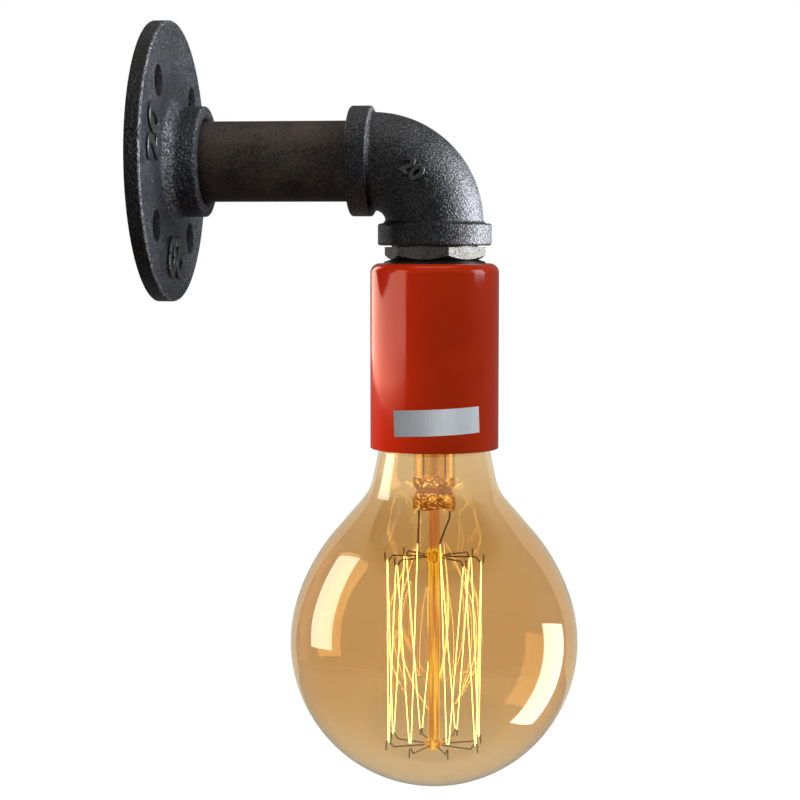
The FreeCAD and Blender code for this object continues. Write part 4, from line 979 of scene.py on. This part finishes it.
stem_parts = [nodes[name] for name in ("bulb_stem", "exhaust_tube", "centre_rod")]
own_lamps = stem_parts + [nodes[name] for name in ("bulb_glass", "stem_pinch", "reducer_bush")]
metals = [piece for piece in nodes.values() if piece not in own_lamps] + numbers
on_globe = group("lit_globe", [glass])
on_cup = group("lit_cup", [cup, label])
on_enamel = group("lit_enamel", [cup])
on_label = group("lit_label", [label])
on_bulb = group("lit_bulb", [glass, pinch] + stem_parts)
on_bush = group("lit_bush", [nodes["reducer_bush"]])
on_iron = group("lit_iron", metals)
on_elbow_iron = group("lit_elbow", [nodes["elbow"], numbers[0]])
on_flange_iron = group("lit_flange", [nodes["wall_flange"]] + numbers[1:])
on_pipe = group("lit_pipe", [nodes["pipe_nipple"]])
on_top = group("lit_from_above", metals + [cup, label])

# What most lamps aim at, and the places and sizes that several lamps share
AIM = (0.06, 0.0, -0.05)
FRONT_LEFT = (-0.35, -0.9, 0.1)
FRONT_SIZE = (0.6, 0.8)
RIGHT = (1.1, 0.08, 0.28)
RIGHT_AIM = (LAMP_X, 0.08, 0.28)
RIGHT_SIZE = (0.44, 0.68)

# The two windows that the globe mirrors
softbox(
    "window_left", (-0.81, 0.155, 0.068), (-0.141, 0.484, -0.15), (0.54, 0.7), 2.4,
    (1, 0.97, 0.88), roll=7.4, reaches=on_bulb, inner=True,
)
softbox(
    "window_right", (0.489, 0.172, -0.337), (0.143, 0.254, -0.313), (0.293, 0.428), 3.1,
    roll=-10.4, reaches=on_bulb, inner=True,
)

# Cup and label
softbox(
    "wall_left", (-0.456, 0.13, 0.13), (LAMP_X, 0.13, 0.13), (1.34, 0.5), 5.2, (1.0, 0.56, 0.42),
    reaches=on_enamel,
)
softbox(
    "cup_fill", (1.1, -0.2, 0.1), AIM, (0.5, 0.5), 2.2, (1.0, 0.96, 0.92),
    gloss=False, reaches=on_enamel,
)
softbox(
    "label_side", (0.35, -0.7, 0.0), AIM, (0.5, 0.5), 2.0, (0.97, 0.98, 1.0), reaches=on_label
)
softbox("cup_right", RIGHT, RIGHT_AIM, (0.44, 0.6), 5.5, (0.95, 0.97, 1.0), reaches=on_cup)

# Castings and pipe
softbox("sky_right", RIGHT, RIGHT_AIM, RIGHT_SIZE, 8.0, (0.92, 0.96, 1.0), reaches=on_iron)
softbox(
    "flange_right", (1.0, -0.1, 0.2), AIM, (0.6, 0.8), 14.0, (0.92, 0.95, 1.0),
    reaches=on_flange_iron,
)
softbox(
    "elbow_right", (0.85, 0.42, 0.02), AIM, (0.7, 0.7), 14.0, (0.9, 0.94, 1.0),
    reaches=on_elbow_iron,
)
softbox("front_left", FRONT_LEFT, AIM, FRONT_SIZE, 0.5, (1.0, 0.97, 0.94), reaches=on_iron)
softbox("pipe_front", FRONT_LEFT, AIM, FRONT_SIZE, 1.0, (1.0, 0.94, 0.88), reaches=on_pipe)

# The globe's rim and the bush
softbox(
    "rim_panel", (0.1, 1.1, -0.1), globe_middle, (2.2, 1.6), 0.45, (1.0, 0.82, 0.55),
    reaches=on_globe,
)
softbox("bush_front", FRONT_LEFT, AIM, FRONT_SIZE, 0.07, (1.0, 0.9, 0.78), reaches=on_bush)
softbox("bush_right", RIGHT, RIGHT_AIM, RIGHT_SIZE, 4.3, (0.95, 0.97, 1.0), reaches=on_bush)

# From above and from the wall's side
softbox("front_top", (0.25, -0.9, 0.85), AIM, (0.9, 0.6), 2.4, gloss=False)
softbox(
    "wall_side", (-0.9, 0.5, 0.3), AIM, (0.8, 0.8), 2.6, (1.0, 0.98, 0.95), reaches=on_iron
)
softbox("top", (0.05, 0.1, 0.95), AIM, (0.7, 0.7), 1.6, (1.0, 0.97, 0.94), reaches=on_top)


# ---------------------------------------------------------------- camera

SENSOR_MM = 36.0
IMAGE_PIXELS = 800
FOCAL_PIXELS = 2050.8
CAMERA_PLACE = (0.1698, -0.680, -0.025)
# Degrees that the camera looks down, rolls and turns left, from level along +Y
CAMERA_DOWN, CAMERA_ROLL, CAMERA_LEFT = 4.56, -0.03, 7.37

camera_data = bpy.data.cameras.new("camera")
camera_data.sensor_width = SENSOR_MM
camera_data.lens = FOCAL_PIXELS / IMAGE_PIXELS * SENSOR_MM
camera = bpy.data.objects.new("camera", camera_data)
camera.location = CAMERA_PLACE
camera_turns = (90 - CAMERA_DOWN, CAMERA_ROLL, CAMERA_LEFT)
camera.rotation_euler = [math.radians(turn) for turn in camera_turns]
scene.collection.objects.link(camera)
scene.camera = camera

scene.view_settings.view_transform = "Standard"
